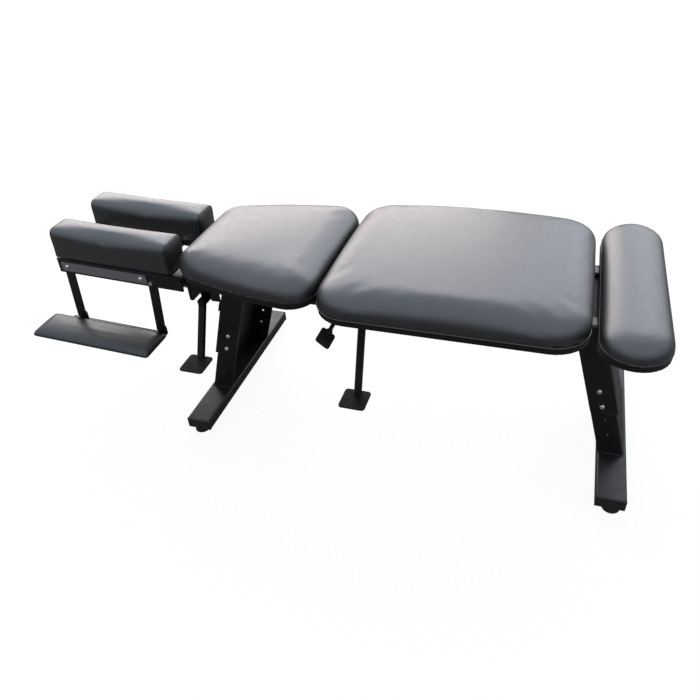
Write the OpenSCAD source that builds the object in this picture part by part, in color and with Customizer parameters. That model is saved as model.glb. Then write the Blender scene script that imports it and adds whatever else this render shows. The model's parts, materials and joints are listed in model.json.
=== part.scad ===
// Chiropractic table: a bench on two leaning legs with drop sections,
// cocking pedals, a tilting headpiece and hanging armrests.
// X runs from the head end to the foot end, Z is up, the floor is Z = 0.

/* [Feet] */
// Length of a foot bar across the table, end caps included
foot_bar_len = 610; // [560:10:760]
// Width of a foot bar along the table
foot_bar_w = 75; // [74:1:100]
// Height of the foot bar tube
foot_bar_h = 35; // [25:1:50]
// Wall of the foot bar tube
foot_bar_wall = 3; // [2:0.5:5]
// Distance between the centre lines of the two foot bars
foot_spread = 1182.6; // [1160:1:1210]
// Thickness of the face of an end cap
end_cap_t = 5; // [3:1:8]
// Diameter of a rubber foot
rubber_foot_d = 46; // [30:1:47]
// Height of a rubber foot
rubber_foot_h = 19; // [15:1:30]
// Distance from the end of the bar to the centre of its rubber foot
rubber_foot_inset = 24; // [24:1:60]
// Distance from the centre line of the bar outwards to its rubber feet
rubber_foot_offset = 6; // [0:1:10]

/* [Legs] */
// Lean of a leg from the vertical, in degrees
leg_lean = 16.5; // [12:0.5:18]
// Width of a leg over its flanges
leg_w = 296; // [280:1:310]
// Depth of a leg's flange along the table
leg_depth = 65; // [50:1:66]
// Wall of the leg channels
leg_wall = 5; // [3:0.5:6]
// Distance from the outer edge of the foot bar to the web of the lower leg
leg_toe = 8.4; // [6:0.2:10]
// Height of the lower end of the upper leg
upper_leg_bottom = 199; // [182:1:207]
// Height of the upper end of the lower leg
lower_leg_top = 300; // [287:1:322]
// Height of the upper leg bolt
leg_bolt_top = 268; // [262:1:274]
// Distance between the holes along the leg
leg_bolt_pitch = 50.8; // [45:0.1:54]
// Diameter of a leg bolt
leg_bolt_d = 8; // [8:1:10]

/* [Frame] */
// Height of the rail tops above the floor
rail_top = 462.5; // [447:0.5:482]
// Length of the two rails
rail_len = 1244; // [1220:1:1260]
// Width of a rail
rail_w = 38; // [30:1:42]
// Height of a rail
rail_h = 45; // [42:1:48]
// Wall of a rail
rail_wall = 3; // [2:0.5:5]
// Side of the square cross tubes
cross_tube = 30; // [25:1:32]
// Thickness of the front end plate
front_plate_t = 6; // [5:0.5:10]
// Width of the front end plate
front_plate_w = 290; // [286:1:300]
// Distance that the front end plate reaches below the rails
front_plate_drop = 42.5; // [36:0.5:46]

/* [Cushions] */
// Length of the chest section
chest_len = 440; // [430:1:450]
// Width of the chest section at its foot end
chest_w = 510; // [440:1:560]
// Width of the chest section at its head end, as a share of the foot end
chest_head_share = 0.65; // [0.55:0.01:0.9]
// Height of the chest cushion over its board
chest_cushion_h = 68; // [60:1:74]
// Drop of the chest cushion's top at its corners
chest_corner_drop = 2; // [0:1:12]
// Length of the pelvic section
pelvic_len = 671.5; // [650:0.5:680]
// Width of the pelvic section
pelvic_w = 580; // [500:1:600]
// Height of the pelvic cushion over its board
pelvic_cushion_h = 76; // [66:1:82]
// Drop of the pelvic cushion's top at its corners
pelvic_corner_drop = 29; // [0:1:34]
// Length of the foot section
foot_section_len = 161.5; // [150:0.5:170]
// Width of the foot section
foot_section_w = 622; // [560:1:640]
// Height of the foot cushion over its board
foot_cushion_h = 50; // [46:1:60]
// Drop of the foot cushion's top at its corners
foot_corner_drop = 2; // [0:1:8]
// Overhang of the foot section past the rails
foot_overhang = 24; // [15:0.5:30]
// Gap between two sections
section_gap = 9.5; // [8:0.5:14]
// Thickness of the boards under the cushions
board_t = 19; // [12:1:25]
// Height that the middle of a cushion rises over its edge
cushion_crown = 5; // [3:0.5:10]
// Distance over which a cushion's top edge rounds off
cushion_edge_r = 42; // [30:1:48]

/* [Drop sections] */
// Height of the landing buffers on the rails
buffer_h = 4; // [3:0.5:6]
// Distance from the chest section's foot end to its hinge
chest_hinge_inset = 8; // [8:0.5:11]
// Distance from the pelvic section's foot end to its hinge
pelvic_hinge_inset = 20; // [14:1:26]
// Diameter of the hinge shafts
hinge_shaft_d = 12; // [10:1:14]
// Depth of the hinge shafts below the rail tops
hinge_depth = 14.5; // [13:0.5:18]
// Width of the lift bars
lift_bar_w = 60; // [50:1:70]
// Thickness of the lift bars
lift_bar_t = 5; // [4:0.5:5]

/* [Pedals] */
// Side of a pedal lever's square arm
pedal_arm = 19; // [16:1:20]
// Distance from the chest section's head end to its pedal arm
chest_pedal_inset = 52.4; // [48:0.2:64]
// Distance from the pelvic section's head end to its pedal arm
pelvic_pedal_inset = 93.4; // [92:0.2:106]
// Height of the chest pedal's foot plate above the floor
chest_pedal_z = 223; // [202:1:242]
// Height of the pelvic pedal's foot plate above the floor
pelvic_pedal_z = 188; // [172:1:222]
// Distance that a pedal rod leans outwards
pedal_lean = 68; // [50:1:70]
// Thickness of a pedal rod
pedal_rod_t = 16; // [12:0.5:18]
// Length of a foot plate along the table
foot_plate_len = 76; // [60:1:78]
// Width of a foot plate across the table
foot_plate_w = 78; // [60:1:80]
// Thickness of a foot plate
foot_plate_t = 5; // [3:0.5:8]
// Diameter of the rollers
roller_d = 24; // [20:1:26]

/* [Tension lever] */
// Distance from the pelvic section's head end to the tension shaft
tension_inset = 35.2; // [34:0.2:37]
// Depth of the tension shaft below the underside of the rails
tension_drop = 11.5; // [10.5:0.5:14]
// Diameter of the tension shaft
tension_shaft_d = 12; // [10:1:12]
// Distance from the middle of the table to the paddle
paddle_y = 235.5; // [225:0.5:240]
// Length of the paddle across the table
paddle_len = 58; // [45:1:60]
// Width of the paddle
paddle_w = 42; // [30:1:50]
// Thickness of the paddle
paddle_t = 5; // [4:0.5:8]
// Tilt of the paddle at rest, in degrees
paddle_tilt = 38; // [20:1:50]

/* [Headpiece] */
// Tilt of the headpiece at rest, head end up, in degrees
head_tilt = 2.5; // [0:0.5:4]
// Distance from the front end plate to the tilt pivot
pivot_reach = 20.6; // [18.5:0.1:23]
// Depth of the tilt pivot below the rail tops
pivot_depth = 23.5; // [22:0.5:27]
// Diameter of the tilt pivot bolts
pivot_bolt_d = 12; // [10:1:14]
// Distance that the inner face of a head side plate lies inside the front end plate's edge
head_plate_inset = 5; // [3:0.5:8]
// Thickness of the head side plates
head_plate_t = 6; // [5:0.5:7]
// Length of the head side plates from the tilt pivot
head_len = 419; // [410:1:440]
// Distance from the tilt pivot to the inner guide rod
inner_rod_reach = 100; // [96:1:104]
// Distance from the tilt pivot to the outer guide rod
outer_rod_reach = 385; // [380:1:388]
// Diameter of the guide rods
guide_rod_d = 12; // [10:1:14]
// Length of a side rail
side_rail_len = 295; // [285:1:300]
// Height of a side rail
side_rail_h = 29; // [26:1:32]
// Thickness of a side rail
side_rail_t = 4; // [3:0.5:5]

/* [Face cushions] */
// Length of a face cushion
face_len = 395; // [370:1:396]
// Width of a face cushion
face_w = 102; // [80:1:104]
// Gap between the two face cushions
face_gap = 100; // [96:1:120]
// Height of a face cushion over its board
face_h = 83; // [70:1:88]
// Thickness of a face cushion's board
face_board_t = 12; // [9:1:15]
// Distance from the tilt pivot to the end of a face cushion
face_end_reach = 25; // [24:1:32]

/* [Armrests] */
// Distance between the two links of an armrest
link_spread = 292; // [280:1:296]
// Distance from the tilt pivot to the inner link
inner_link_reach = 100; // [98:1:104]
// Length of a link between its pivots
link_len = 176; // [165:1:185]
// Width of a link
link_w = 30; // [26:1:31]
// Thickness of a link
link_t = 6; // [4:0.5:6]
// Swing of the links at rest, towards the head end, in degrees
link_swing = 3.3; // [0:0.1:6]
// Length of an armrest pad
pad_len = 412; // [400:1:430]
// Width of an armrest pad
pad_w = 120; // [100:1:130]
// Height of an armrest pad at its edge
pad_edge_h = 13; // [10:1:16]
// Height that the middle of an armrest pad rises over its edge
pad_crown = 13; // [8:1:20]

/* [Hidden] */
$fn = 48;

// Overrun of a cut past the face that it starts at
cut = 1;
// Radial clearance of a shaft or pin in its bore
run_fit = 0.05;
// Radial clearance of a bolt in its hole
bolt_fit = 0.1;
// Clearance between nested or neighbouring sheets
sheet_fit = 0.3;

// Feet
foot_bar_top = rubber_foot_h + foot_bar_h;
foot_end_y = foot_bar_len/2;
rubber_foot_y = foot_end_y - rubber_foot_inset;
foot_stud_d = 8;
foot_stud_h = 14;
foot_taper = 3;
cap_plug_len = 12;

// Legs
wall_x = leg_wall/cos(leg_lean);
nest_x = sheet_fit/cos(leg_lean);
lower_leg_half = leg_w/2 - leg_wall - sheet_fit;
spare_hole_rise = 18.5;
leg_bolt_head_d = 14;
leg_bolt_head_h = 5;
leg_nut_h = 8;
doubler_t = 4;
doubler_drop = 31;
doubler_h = 29.5;

// Frame
rail_bottom = rail_top - rail_h;
rail_outer = leg_w/2 - leg_wall;
rail_inner = rail_outer - rail_w;
rail_mid = rail_outer - rail_w/2;
rail_head_x = -rail_len/2;
front_plate_x = rail_head_x - front_plate_t;
front_plate_top = rail_top - sheet_fit;
front_plate_bottom = rail_bottom - front_plate_drop;
front_plate_corner = 12;
lug_t = 8;
lug_r = 14;
cross_tube_depth = 12.5;
cross_tube_shares = [-0.35, 0.05, 0.39];
wing_len = 92;
wing_t = 6;
wing_inset = wing_t/3;
wing_outer = front_plate_w/2 - wing_inset;
wing_h = 31;
wing_strip_h = 3.3;
wing_tab_len = 27;
gusset_len = 39;

// Sections
foot_section_foot_x = rail_len/2 + foot_overhang;
foot_section_head_x = foot_section_foot_x - foot_section_len;
pelvic_foot_x = foot_section_head_x - section_gap;
pelvic_head_x = pelvic_foot_x - pelvic_len;
chest_foot_x = pelvic_head_x - section_gap;
chest_head_x = chest_foot_x - chest_len;
landing_fit = 0.5;
board_z = rail_top + buffer_h + landing_fit;
cushion_z = board_z + board_t;
board_inset = 2;
cushion_draw = 3;
section_side_share = 0.26;
edge_len_share = 0.28;
pelvic_corner_r = 92;
chest_corner_r = 76;
foot_section_corner_r = 80;
board_corner_steps = 8;
buffer_d = 18;
buffer_inset = 70;
spacer_d = 20;
spacer_inset = 40;

// Drop hinges
chest_hinge_x = chest_foot_x - chest_hinge_inset;
pelvic_hinge_x = pelvic_foot_x - pelvic_hinge_inset;
hinge_z = rail_top - hinge_depth;
lift_bar_bottom = board_z - lift_bar_t;
hinge_lug_t = 6;
hinge_lug_r = 10;
lift_bar_overrun = 22;

// Pedals
arm_clear = 33.5;
arm_top = rail_bottom - arm_clear;
arm_bottom = arm_top - pedal_arm;
pedal_pivot_z = arm_top - pedal_arm/2;
pedal_pivot_inset = 5;
pedal_pivot_y = pedal_pivot_inset - rail_inner;
pedal_pin_d = 10;
pedal_pin_head_d = 16;
pedal_pin_head_h = 3;
ear_t = 6;
ear_fit = 0.5;
ear_outer = 20;
ear_inner = 14;
ear_d = 24;
arm_outer_y = -(leg_w/2);
fork_half = 9;
fork_t = 5;
fork_base_h = 8;
roller_w = 14;
roller_fit = 0.5;
roller_gap = 0.8;
roller_pin_d = 8;
roller_z = lift_bar_bottom - roller_gap - roller_d/2;
chest_pedal_x = chest_head_x + chest_pedal_inset;
pelvic_pedal_x = pelvic_head_x + pelvic_pedal_inset;
foot_plate_y = arm_outer_y - pedal_lean + pedal_rod_t;
foot_plate_corner = 10;

// Tension lever
tension_x = pelvic_head_x + tension_inset;
tension_z = rail_bottom - tension_drop;
cam_d = 24;
cam_throw = 3;
cam_reach = 49;
cam_y = rail_inner - cam_reach;
cam_w = 16;
cam_gap = 0.3;
bearing_len = 30;
bearing_wall = 5.5;
guide_gap = 1;
guide_t = 13;
guide_drop = 12;
guide_lap = 25;
guide_reach = 55;
plunger_d = 12;
pad_gap = 2.4;
brake_gap = 4.3;
pad_d = 18;
pad_t = 3;
shaft_end = 2;
guide_x = tension_x + cam_d/2 + cam_throw + guide_gap;
plunger_y = cam_y + cam_w/2;
plunger_pad_x = guide_x + guide_t + pad_gap;
friction_x = plunger_pad_x + pad_t + brake_gap;
friction_t = 4;
friction_w = 24;
friction_drop = 77;
friction_foot = 18;
paddle_corner = 8;
paddle_hub_d = 18;
paddle_hub_len = 4;
paddle_hub_grip = 8;

// Headpiece
pivot_x = front_plate_x - pivot_reach;
pivot_z = rail_top - pivot_depth;
head_inner = front_plate_w/2 - head_plate_inset;
head_outer = head_inner + head_plate_t;
head_plate_top = 16;
head_plate_bottom = 32;
head_nose_r = 17;
head_toe = 6;
rod_rise = 6;
cross_plate_h = 30;
cross_plate_t = 6;
cross_plate_reach = 54;
side_rail_mid = 9;
side_rail_reach = 110;
screw_d = 8;
screw_drop = 8;
screw_inset = 20;
screw_head_d = 13;
screw_head_h = 4;
lug_outer = head_inner - 0.5*ear_fit;
lug_inner = lug_outer - lug_t;
pivot_head_d = 20;
pivot_head_h = 6;
pivot_nut_h = 8;
clamp_hub_d = 22;
clamp_hub_h = 12;
clamp_len = 78;
clamp_bar_w = 12;
clamp_bar_t = 7;
clamp_knob_d = 22;

// Face cushions
carrier_z = 20;
carrier_inset = 5;
carrier_block_len = 28;
carrier_block_y = 12;
carrier_block_w = 56;
carrier_block_drop = 5;
face_corner_r = 16;
face_edge_r = 15;
face_crown = 6;
face_draw = 4;
face_side_share = 0.72;

// Armrests
link_pivot_d = 8;
link_pivot_depth = 20;
link_outer = head_inner - ear_fit;
link_inner = link_outer - link_t;
link_head_d = 12;
link_head_h = 4;
link_nut_h = 6;
bracket_t = 4;
bracket_tab_t = 6;
bracket_tab_half = link_w/2;
bracket_w = 108;
bracket_margin = 40;
link_end_clear = 1;
pad_inner_y = head_outer;
pad_edge_r = 46;
pad_corner_r = 26;
pad_draw = 2;
pad_crown_share = 0.35;
pad_side_share = 0.45;
outer_link_reach = inner_link_reach + link_spread;
link_low_shift = link_len*sin(link_swing);
link_low_z = -link_pivot_depth - link_len*cos(link_swing);
pad_z = link_low_z - link_w/2 - link_end_clear;
pad_shift = 34;
pad_mid_reach = inner_link_reach + link_spread/2 + link_low_shift + pad_shift;
pad_end_reach = pad_mid_reach + pad_len/2;

// Middle of the table's whole length, which the model is centred on
head_end_x = pivot_x - pad_end_reach*cos(head_tilt) + pad_z*sin(head_tilt);
mid_x = (head_end_x + foot_section_foot_x)/2;

black_steel = [0.06, 0.06, 0.065];
zinc = [0.72, 0.73, 0.75];
chrome = [0.85, 0.86, 0.88];
light_steel = [0.45, 0.46, 0.48];
vinyl = [0.1, 0.1, 0.11];
rubber = [0.04, 0.04, 0.04];
nylon = [0.85, 0.84, 0.8];

// Places its children with the middle of the table's length at X = 0
module in_frame() {
    translate([-mid_x, 0, 0]) children();
}

// Places its children in the tilted frame of the headpiece's pivot
module in_head() {
    in_frame() translate([pivot_x, 0, pivot_z]) rotate([0, head_tilt, 0]) children();
}

// Repeats its children on both sides of the table
module both_sides() {
    children();
    mirror([0, 1, 0]) children();
}

// Shape in the XZ plane, made solid between two distances y0 and y1
module slab_y(y0, y1) {
    translate([0, y1, 0]) rotate([90, 0, 0]) linear_extrude(y1 - y0) children();
}

// Shape in the YZ plane, made solid between two distances x0 and x1
module slab_x(x0, x1) {
    translate([x0, 0, 0]) rotate([90, 0, 90]) linear_extrude(x1 - x0) children();
}

module box(lo, hi) {
    translate(lo) cube(hi - lo);
}

// Round bar along Y between y0 and y1
module rod_y(x, z, y0, y1, d) {
    translate([x, y1, z]) rotate([90, 0, 0]) cylinder(h = y1 - y0, d = d);
}

// Round bar along X between x0 and x1
module rod_x(y, z, x0, x1, d) {
    translate([x0, y, z]) rotate([0, 90, 0]) cylinder(h = x1 - x0, d = d);
}

function arc_points(cx, cy, r, start, steps) =
    [for (i = [0:steps]) [cx + r*cos(start + 90*i/steps), cy + r*sin(start + 90*i/steps)]];

function edge_points(p, q, count) =
    [for (i = [1:count]) p + (q - p)*i/(count + 1)];

// Rounded rectangle of half length a and half width b, with points along its sides
function round_rect(a, b, r, steps, count) = concat(
    arc_points(a - r, b - r, r, 0, steps),
    edge_points([a - r, b], [r - a, b], count),
    arc_points(r - a, b - r, r, 90, steps),
    edge_points([-a, b - r], [-a, r - b], count),
    arc_points(r - a, r - b, r, 180, steps),
    edge_points([r - a, -b], [a - r, -b], count),
    arc_points(a - r, r - b, r, 270, steps),
    edge_points([a, r - b], [a, b - r], count));

// Share of the full width at place x on a section that narrows to its head end
function taper_share(x, a, head_share) =
    let (u = (x + a)/(2*a)) head_share + (1 - head_share)*(1 - pow(1 - u, 2));

function outline(a, b, r, inset, steps, count, head_share) = [
    for (p = round_rect(a - inset, b - inset, max(r - inset, 0.2*r), steps, count))
        [p.x, p.y*taper_share(p.x, a, head_share)]
];

function ring(points, z) = [for (p = points) [p.x, p.y, z]];

// How near a point is to a corner: 0 on the middle lines, 1 on a square corner
function corner_share(p, a, b) = pow(p.x/a, 2)*pow(p.y/b, 2);

function dropped_ring(points, z, drop, a, b) =
    [for (p = points) [p.x, p.y, z - drop*corner_share(p, a, b)]];

// How a padded form's side swells between its bottom and its widest line
swell_share = 0.3;
swell_height_share = 0.45;

// Padded form: sides drawn in at the bottom, a rounded top edge, a crown, lower corners
module padded_form(a, b, r, h, edge_r, crown, draw, side_share, drop, steps, count, head_share) {
    side_h = side_share*(h - crown);
    edge_h = h - crown - side_h;
    edge_steps = 6;
    crown_steps = 4;
    edge_turn = 82;
    points_a = ring(outline(a, b, r, draw, steps, count, head_share), 0);
    points_b = ring(outline(a, b, r, swell_share*draw, steps, count, head_share),
        swell_height_share*side_h);
    points_c = ring(outline(a, b, r, 0, steps, count, head_share), side_h);
    rounded = [
        for (i = [1:edge_steps])
            let (turn = edge_turn*i/edge_steps)
            let (rise_share = sin(turn)/sin(edge_turn))
            dropped_ring(outline(a, b, r, edge_r*(1 - cos(turn)), steps, count, head_share),
                side_h + edge_h*rise_share, drop*rise_share, a, b)
    ];
    rim = outline(a, b, r, edge_r*(1 - cos(edge_turn)), steps, count, head_share);
    crowned = [
        for (i = [1:crown_steps])
            let (s = 1 - i/(crown_steps + 1))
            [for (p = rim) [p.x*s, p.y*s,
                h - crown*pow(s, 2) - drop*corner_share(p, a, b)*pow(s, 4)]]
    ];
    rings = concat([points_a, points_b, points_c], rounded, crowned);
    n = len(points_a);
    last = (len(rings) - 1)*n;
    points = concat([for (one = rings) each one], [[0, 0, 0], [0, 0, h]]);
    low = len(points) - 2;
    high = len(points) - 1;
    walls = [
        for (k = [0:len(rings) - 2]) for (j = [0:n - 1])
            let (p = k*n + j, q = k*n + (j + 1) % n)
            each [[p, p + n, q + n], [p, q + n, q]]
    ];
    caps = [
        for (j = [0:n - 1])
            let (q = (j + 1) % n)
            each [[low, j, q], [high, last + q, last + j]]
    ];
    polyhedron(points = points, faces = concat(walls, caps));
}

module board(a, b, r, inset, t, head_share) {
    linear_extrude(t)
        polygon(outline(a - inset, b - inset, r - inset, 0, board_corner_steps, 4, head_share));
}

// Feet

module foot_bar(side) {
    x = side*foot_spread/2;
    half = foot_end_y - end_cap_t;
    in_frame() color(black_steel) difference() {
        box([x - foot_bar_w/2, -half, rubber_foot_h], [x + foot_bar_w/2, half, foot_bar_top]);
        box([x - foot_bar_w/2 + foot_bar_wall, -half - cut, rubber_foot_h + foot_bar_wall],
            [x + foot_bar_w/2 - foot_bar_wall, half + cut, foot_bar_top - foot_bar_wall]);
        for (y = [-rubber_foot_y, rubber_foot_y])
            translate([x + side*rubber_foot_offset, y, rubber_foot_h - cut])
                cylinder(h = foot_bar_wall + 2*cut, d = foot_stud_d + 2*bolt_fit);
    }
}

module front_foot_bar() {
    foot_bar(-1);
}

module rear_foot_bar() {
    foot_bar(1);
}

// Cap of a tube of size w by h: its face lies from y to y + t, its plug points back
module tube_cap(w, h, wall, t) {
    plug_w = w - 2*wall - 2*sheet_fit;
    plug_h = h - 2*wall - 2*sheet_fit;
    box([-w/2, 0, 0], [w/2, t, h]);
    box([-plug_w/2, -cap_plug_len, (h - plug_h)/2], [plug_w/2, 0, (h + plug_h)/2]);
}

module plastic_end_caps() {
    in_frame() color(rubber) {
        for (x = [-foot_spread/2, foot_spread/2])
            both_sides() translate([x, foot_end_y - end_cap_t, rubber_foot_h])
                tube_cap(foot_bar_w, foot_bar_h, foot_bar_wall, end_cap_t);
        both_sides() translate([rail_len/2, rail_mid, rail_bottom]) rotate([0, 0, -90])
            tube_cap(rail_w, rail_h, rail_wall, end_cap_t);
    }
}

module rubber_feet() {
    in_frame() color(rubber)
        for (side = [-1, 1])
            both_sides() translate([side*(foot_spread/2 + rubber_foot_offset), rubber_foot_y, 0]) {
                cylinder(h = rubber_foot_h, d1 = rubber_foot_d, d2 = rubber_foot_d - 2*foot_taper);
                cylinder(h = rubber_foot_h + foot_stud_h, d = foot_stud_d);
            }
}

// Legs

// Outer face of the rear lower leg's web at height z
function web_x(z) =
    foot_spread/2 + foot_bar_w/2 - leg_toe - (z - foot_bar_top)*tan(leg_lean);

function leg_hole_x(z) = web_x(z) - leg_depth/2;

function leg_hole_z(i) = leg_bolt_top - i*leg_bolt_pitch*cos(leg_lean);

// Leaning plate between heights z0 and z1, from in_x behind the web's face to out_x past it
module leaning_plate(z0, z1, in_x, out_x, y0, y1) {
    slab_y(y0, y1)
        polygon([[web_x(z0) - in_x, z0], [web_x(z0) + out_x, z0],
            [web_x(z1) + out_x, z1], [web_x(z1) - in_x, z1]]);
}

module leg_hole(z) {
    rod_y(leg_hole_x(z), z, -leg_w/2 - cut, leg_w/2 + cut, leg_bolt_d + 2*bolt_fit);
}

module lower_leg() {
    color(black_steel) difference() {
        union() {
            leaning_plate(foot_bar_top, lower_leg_top, wall_x, 0, -lower_leg_half, lower_leg_half);
            both_sides()
                leaning_plate(foot_bar_top, lower_leg_top, leg_depth, 0,
                    lower_leg_half - leg_wall, lower_leg_half);
        }
        for (i = [0:3])
            leg_hole(leg_hole_z(i));
    }
}

module upper_leg() {
    color(black_steel) difference() {
        union() {
            leaning_plate(upper_leg_bottom, rail_bottom, -nest_x, nest_x + wall_x,
                -leg_w/2, leg_w/2);
            both_sides()
                leaning_plate(upper_leg_bottom, rail_top, leg_depth, nest_x + wall_x,
                    rail_outer, leg_w/2);
        }
        for (i = [0:1])
            leg_hole(leg_hole_z(i));
        leg_hole(rail_bottom - spare_hole_rise);
    }
}

module web_doubler() {
    color(black_steel)
        leaning_plate(rail_bottom - doubler_drop - doubler_h, rail_bottom - doubler_drop,
            -(nest_x + wall_x),
            nest_x + wall_x + doubler_t, -leg_w/2, leg_w/2);
}

// Bolt through both channels on one side of a leg
module leg_bolt(z) {
    inner = lower_leg_half - leg_wall;
    translate([leg_hole_x(z), 0, z]) {
        rod_y(0, 0, inner - leg_nut_h - shaft_end, leg_w/2, leg_bolt_d);
        translate([0, leg_w/2, 0]) rotate([-90, 0, 0])
            cylinder(h = leg_bolt_head_h, d1 = leg_bolt_head_d, d2 = leg_bolt_d);
        translate([0, inner, 0]) rotate([90, 0, 0])
            cylinder(h = leg_nut_h, d = leg_bolt_head_d, $fn = 6);
    }
}

module front_lower_leg() {
    in_frame() mirror([1, 0, 0]) lower_leg();
}

module rear_lower_leg() {
    in_frame() lower_leg();
}

module front_upper_leg() {
    in_frame() mirror([1, 0, 0]) upper_leg();
}

module rear_upper_leg() {
    in_frame() upper_leg();
}

module web_doublers() {
    in_frame() {
        web_doubler();
        mirror([1, 0, 0]) web_doubler();
    }
}

module leg_bolts() {
    in_frame() color(zinc)
        for (i = [0:1])
            both_sides() {
                leg_bolt(leg_hole_z(i));
                mirror([1, 0, 0]) leg_bolt(leg_hole_z(i));
            }
}

// Frame

module rail() {
    color(black_steel) difference() {
        box([rail_head_x, rail_inner, rail_bottom], [rail_len/2, rail_outer, rail_top]);
        box([rail_head_x - cut, rail_inner + rail_wall, rail_bottom + rail_wall],
            [rail_len/2 + cut, rail_outer - rail_wall, rail_top - rail_wall]);
    }
}

module left_rail() {
    in_frame() mirror([0, 1, 0]) rail();
}

module right_rail() {
    in_frame() rail();
}

module front_end_plate() {
    half = front_plate_w/2;
    c = front_plate_corner;
    in_frame() color(black_steel) {
        slab_x(front_plate_x, rail_head_x)
            polygon(concat(
                [[half, front_plate_top], [-half, front_plate_top]],
                arc_points(c - half, front_plate_bottom + c, c, 180, 6),
                arc_points(half - c, front_plate_bottom + c, c, 270, 6)));
        both_sides() difference() {
            union() {
                box([pivot_x, lug_inner, pivot_z - lug_r], [front_plate_x, lug_outer, pivot_z + lug_r]);
                rod_y(pivot_x, pivot_z, lug_inner, lug_outer, 2*lug_r);
            }
            rod_y(pivot_x, pivot_z, lug_inner - cut, lug_outer + cut, pivot_bolt_d + 2*run_fit);
        }
    }
}

module cross_tubes() {
    top = rail_top - cross_tube_depth;
    in_frame() color(black_steel)
        for (s = cross_tube_shares)
            translate([s*rail_len, 0, top - cross_tube]) difference() {
                box([-cross_tube/2, -rail_inner, 0], [cross_tube/2, rail_inner, cross_tube]);
                box([rail_wall - cross_tube/2, -rail_inner - cut, rail_wall],
                    [cross_tube/2 - rail_wall, rail_inner + cut, cross_tube - rail_wall]);
            }
}

module drop_hinge_shafts() {
    in_frame() color(zinc)
        for (x = [chest_hinge_x, pelvic_hinge_x])
            rod_y(x, hinge_z, -rail_inner, rail_inner, hinge_shaft_d);
}

module landing_buffers() {
    in_frame() color(rubber)
        for (x = [chest_head_x + buffer_inset, chest_foot_x - buffer_inset,
                pelvic_head_x + buffer_inset, pelvic_foot_x - buffer_inset])
            both_sides() translate([x, rail_mid, rail_top])
                cylinder(h = buffer_h, d = buffer_d);
}

// Sections

module section_board(len, w, r, head_share) {
    color(vinyl) translate([len/2, 0, board_z]) board(len/2, w/2, r, board_inset, board_t, head_share);
}

module section_cushion(len, w, r, h, drop, head_share) {
    edge_r = min(cushion_edge_r, edge_len_share*len);
    color(vinyl) translate([len/2, 0, cushion_z])
        padded_form(len/2, w/2, r, h, edge_r, cushion_crown, cushion_draw, section_side_share,
            drop, board_corner_steps, 4, head_share);
}

module foot_board() {
    in_frame() translate([foot_section_head_x, 0, 0])
        section_board(foot_section_len, foot_section_w, foot_section_corner_r, 1);
}

module foot_cushion() {
    in_frame() translate([foot_section_head_x, 0, 0])
        section_cushion(foot_section_len, foot_section_w, foot_section_corner_r,
            foot_cushion_h, foot_corner_drop, 1);
}

module foot_board_spacers() {
    in_frame() color(zinc)
        for (x = [foot_section_head_x + spacer_inset, rail_len/2 - spacer_inset])
            both_sides() translate([x, rail_mid, rail_top])
                cylinder(h = board_z - rail_top, d = spacer_d);
}

module chest_board() {
    in_frame() translate([chest_head_x, 0, 0])
        section_board(chest_len, chest_w, chest_corner_r, chest_head_share);
}

module chest_cushion() {
    in_frame() translate([chest_head_x, 0, 0])
        section_cushion(chest_len, chest_w, chest_corner_r, chest_cushion_h,
            chest_corner_drop, chest_head_share);
}

module pelvic_board() {
    in_frame() translate([pelvic_head_x, 0, 0])
        section_board(pelvic_len, pelvic_w, pelvic_corner_r, 1);
}

module pelvic_cushion() {
    in_frame() translate([pelvic_head_x, 0, 0])
        section_cushion(pelvic_len, pelvic_w, pelvic_corner_r, pelvic_cushion_h,
            pelvic_corner_drop, 1);
}

// Lift bar under a drop section, with the two lugs that turn on its hinge shaft
module lift_bar(from_x, hinge_x) {
    in_frame() color(black_steel) difference() {
        union() {
            box([from_x, -lift_bar_w/2, lift_bar_bottom], [hinge_x + hinge_lug_r, lift_bar_w/2, board_z]);
            both_sides() {
                box([hinge_x - hinge_lug_r, lift_bar_w/2 - hinge_lug_t, hinge_z],
                    [hinge_x + hinge_lug_r, lift_bar_w/2, board_z]);
                rod_y(hinge_x, hinge_z, lift_bar_w/2 - hinge_lug_t, lift_bar_w/2, 2*hinge_lug_r);
            }
        }
        rod_y(hinge_x, hinge_z, -lift_bar_w/2 - cut, lift_bar_w/2 + cut, hinge_shaft_d + 2*run_fit);
    }
}

module chest_lift_bar() {
    lift_bar(chest_pedal_x - lift_bar_overrun, chest_hinge_x);
}

module pelvic_lift_bar() {
    lift_bar(pelvic_pedal_x - lift_bar_overrun, pelvic_hinge_x);
}

// Pedals

module pedal_ears(x) {
    inner = pedal_arm/2 + ear_fit;
    for (side = [-1, 1])
        translate([x + side*(inner + ear_t/2), 0, 0]) difference() {
            union() {
                slab_x(-ear_t/2, ear_t/2)
                    polygon([[pedal_pivot_y - ear_d/2, pedal_pivot_z],
                        [pedal_pivot_y + ear_d/2, pedal_pivot_z],
                        [pedal_pivot_y + ear_inner, rail_bottom],
                        [pedal_pivot_y - ear_outer, rail_bottom]]);
                rod_x(pedal_pivot_y, pedal_pivot_z, -ear_t/2, ear_t/2, ear_d);
            }
            rod_x(pedal_pivot_y, pedal_pivot_z, -ear_t/2 - cut, ear_t/2 + cut, pedal_pin_d + 2*run_fit);
        }
}

// Side view of a wing: a gusset behind the plate, a notch over the pedal arm and a tab at the leg
module wing_profile() {
    end_x = rail_head_x + wing_len;
    strip_z = rail_bottom - wing_strip_h;
    polygon([
        [rail_head_x, front_plate_bottom + front_plate_corner/2],
        [rail_head_x, rail_bottom], [end_x, rail_bottom], [end_x, rail_bottom - wing_h],
        [end_x - wing_tab_len, rail_bottom - wing_h], [end_x - wing_tab_len, strip_z],
        [rail_head_x + gusset_len, strip_z]]);
}

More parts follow.
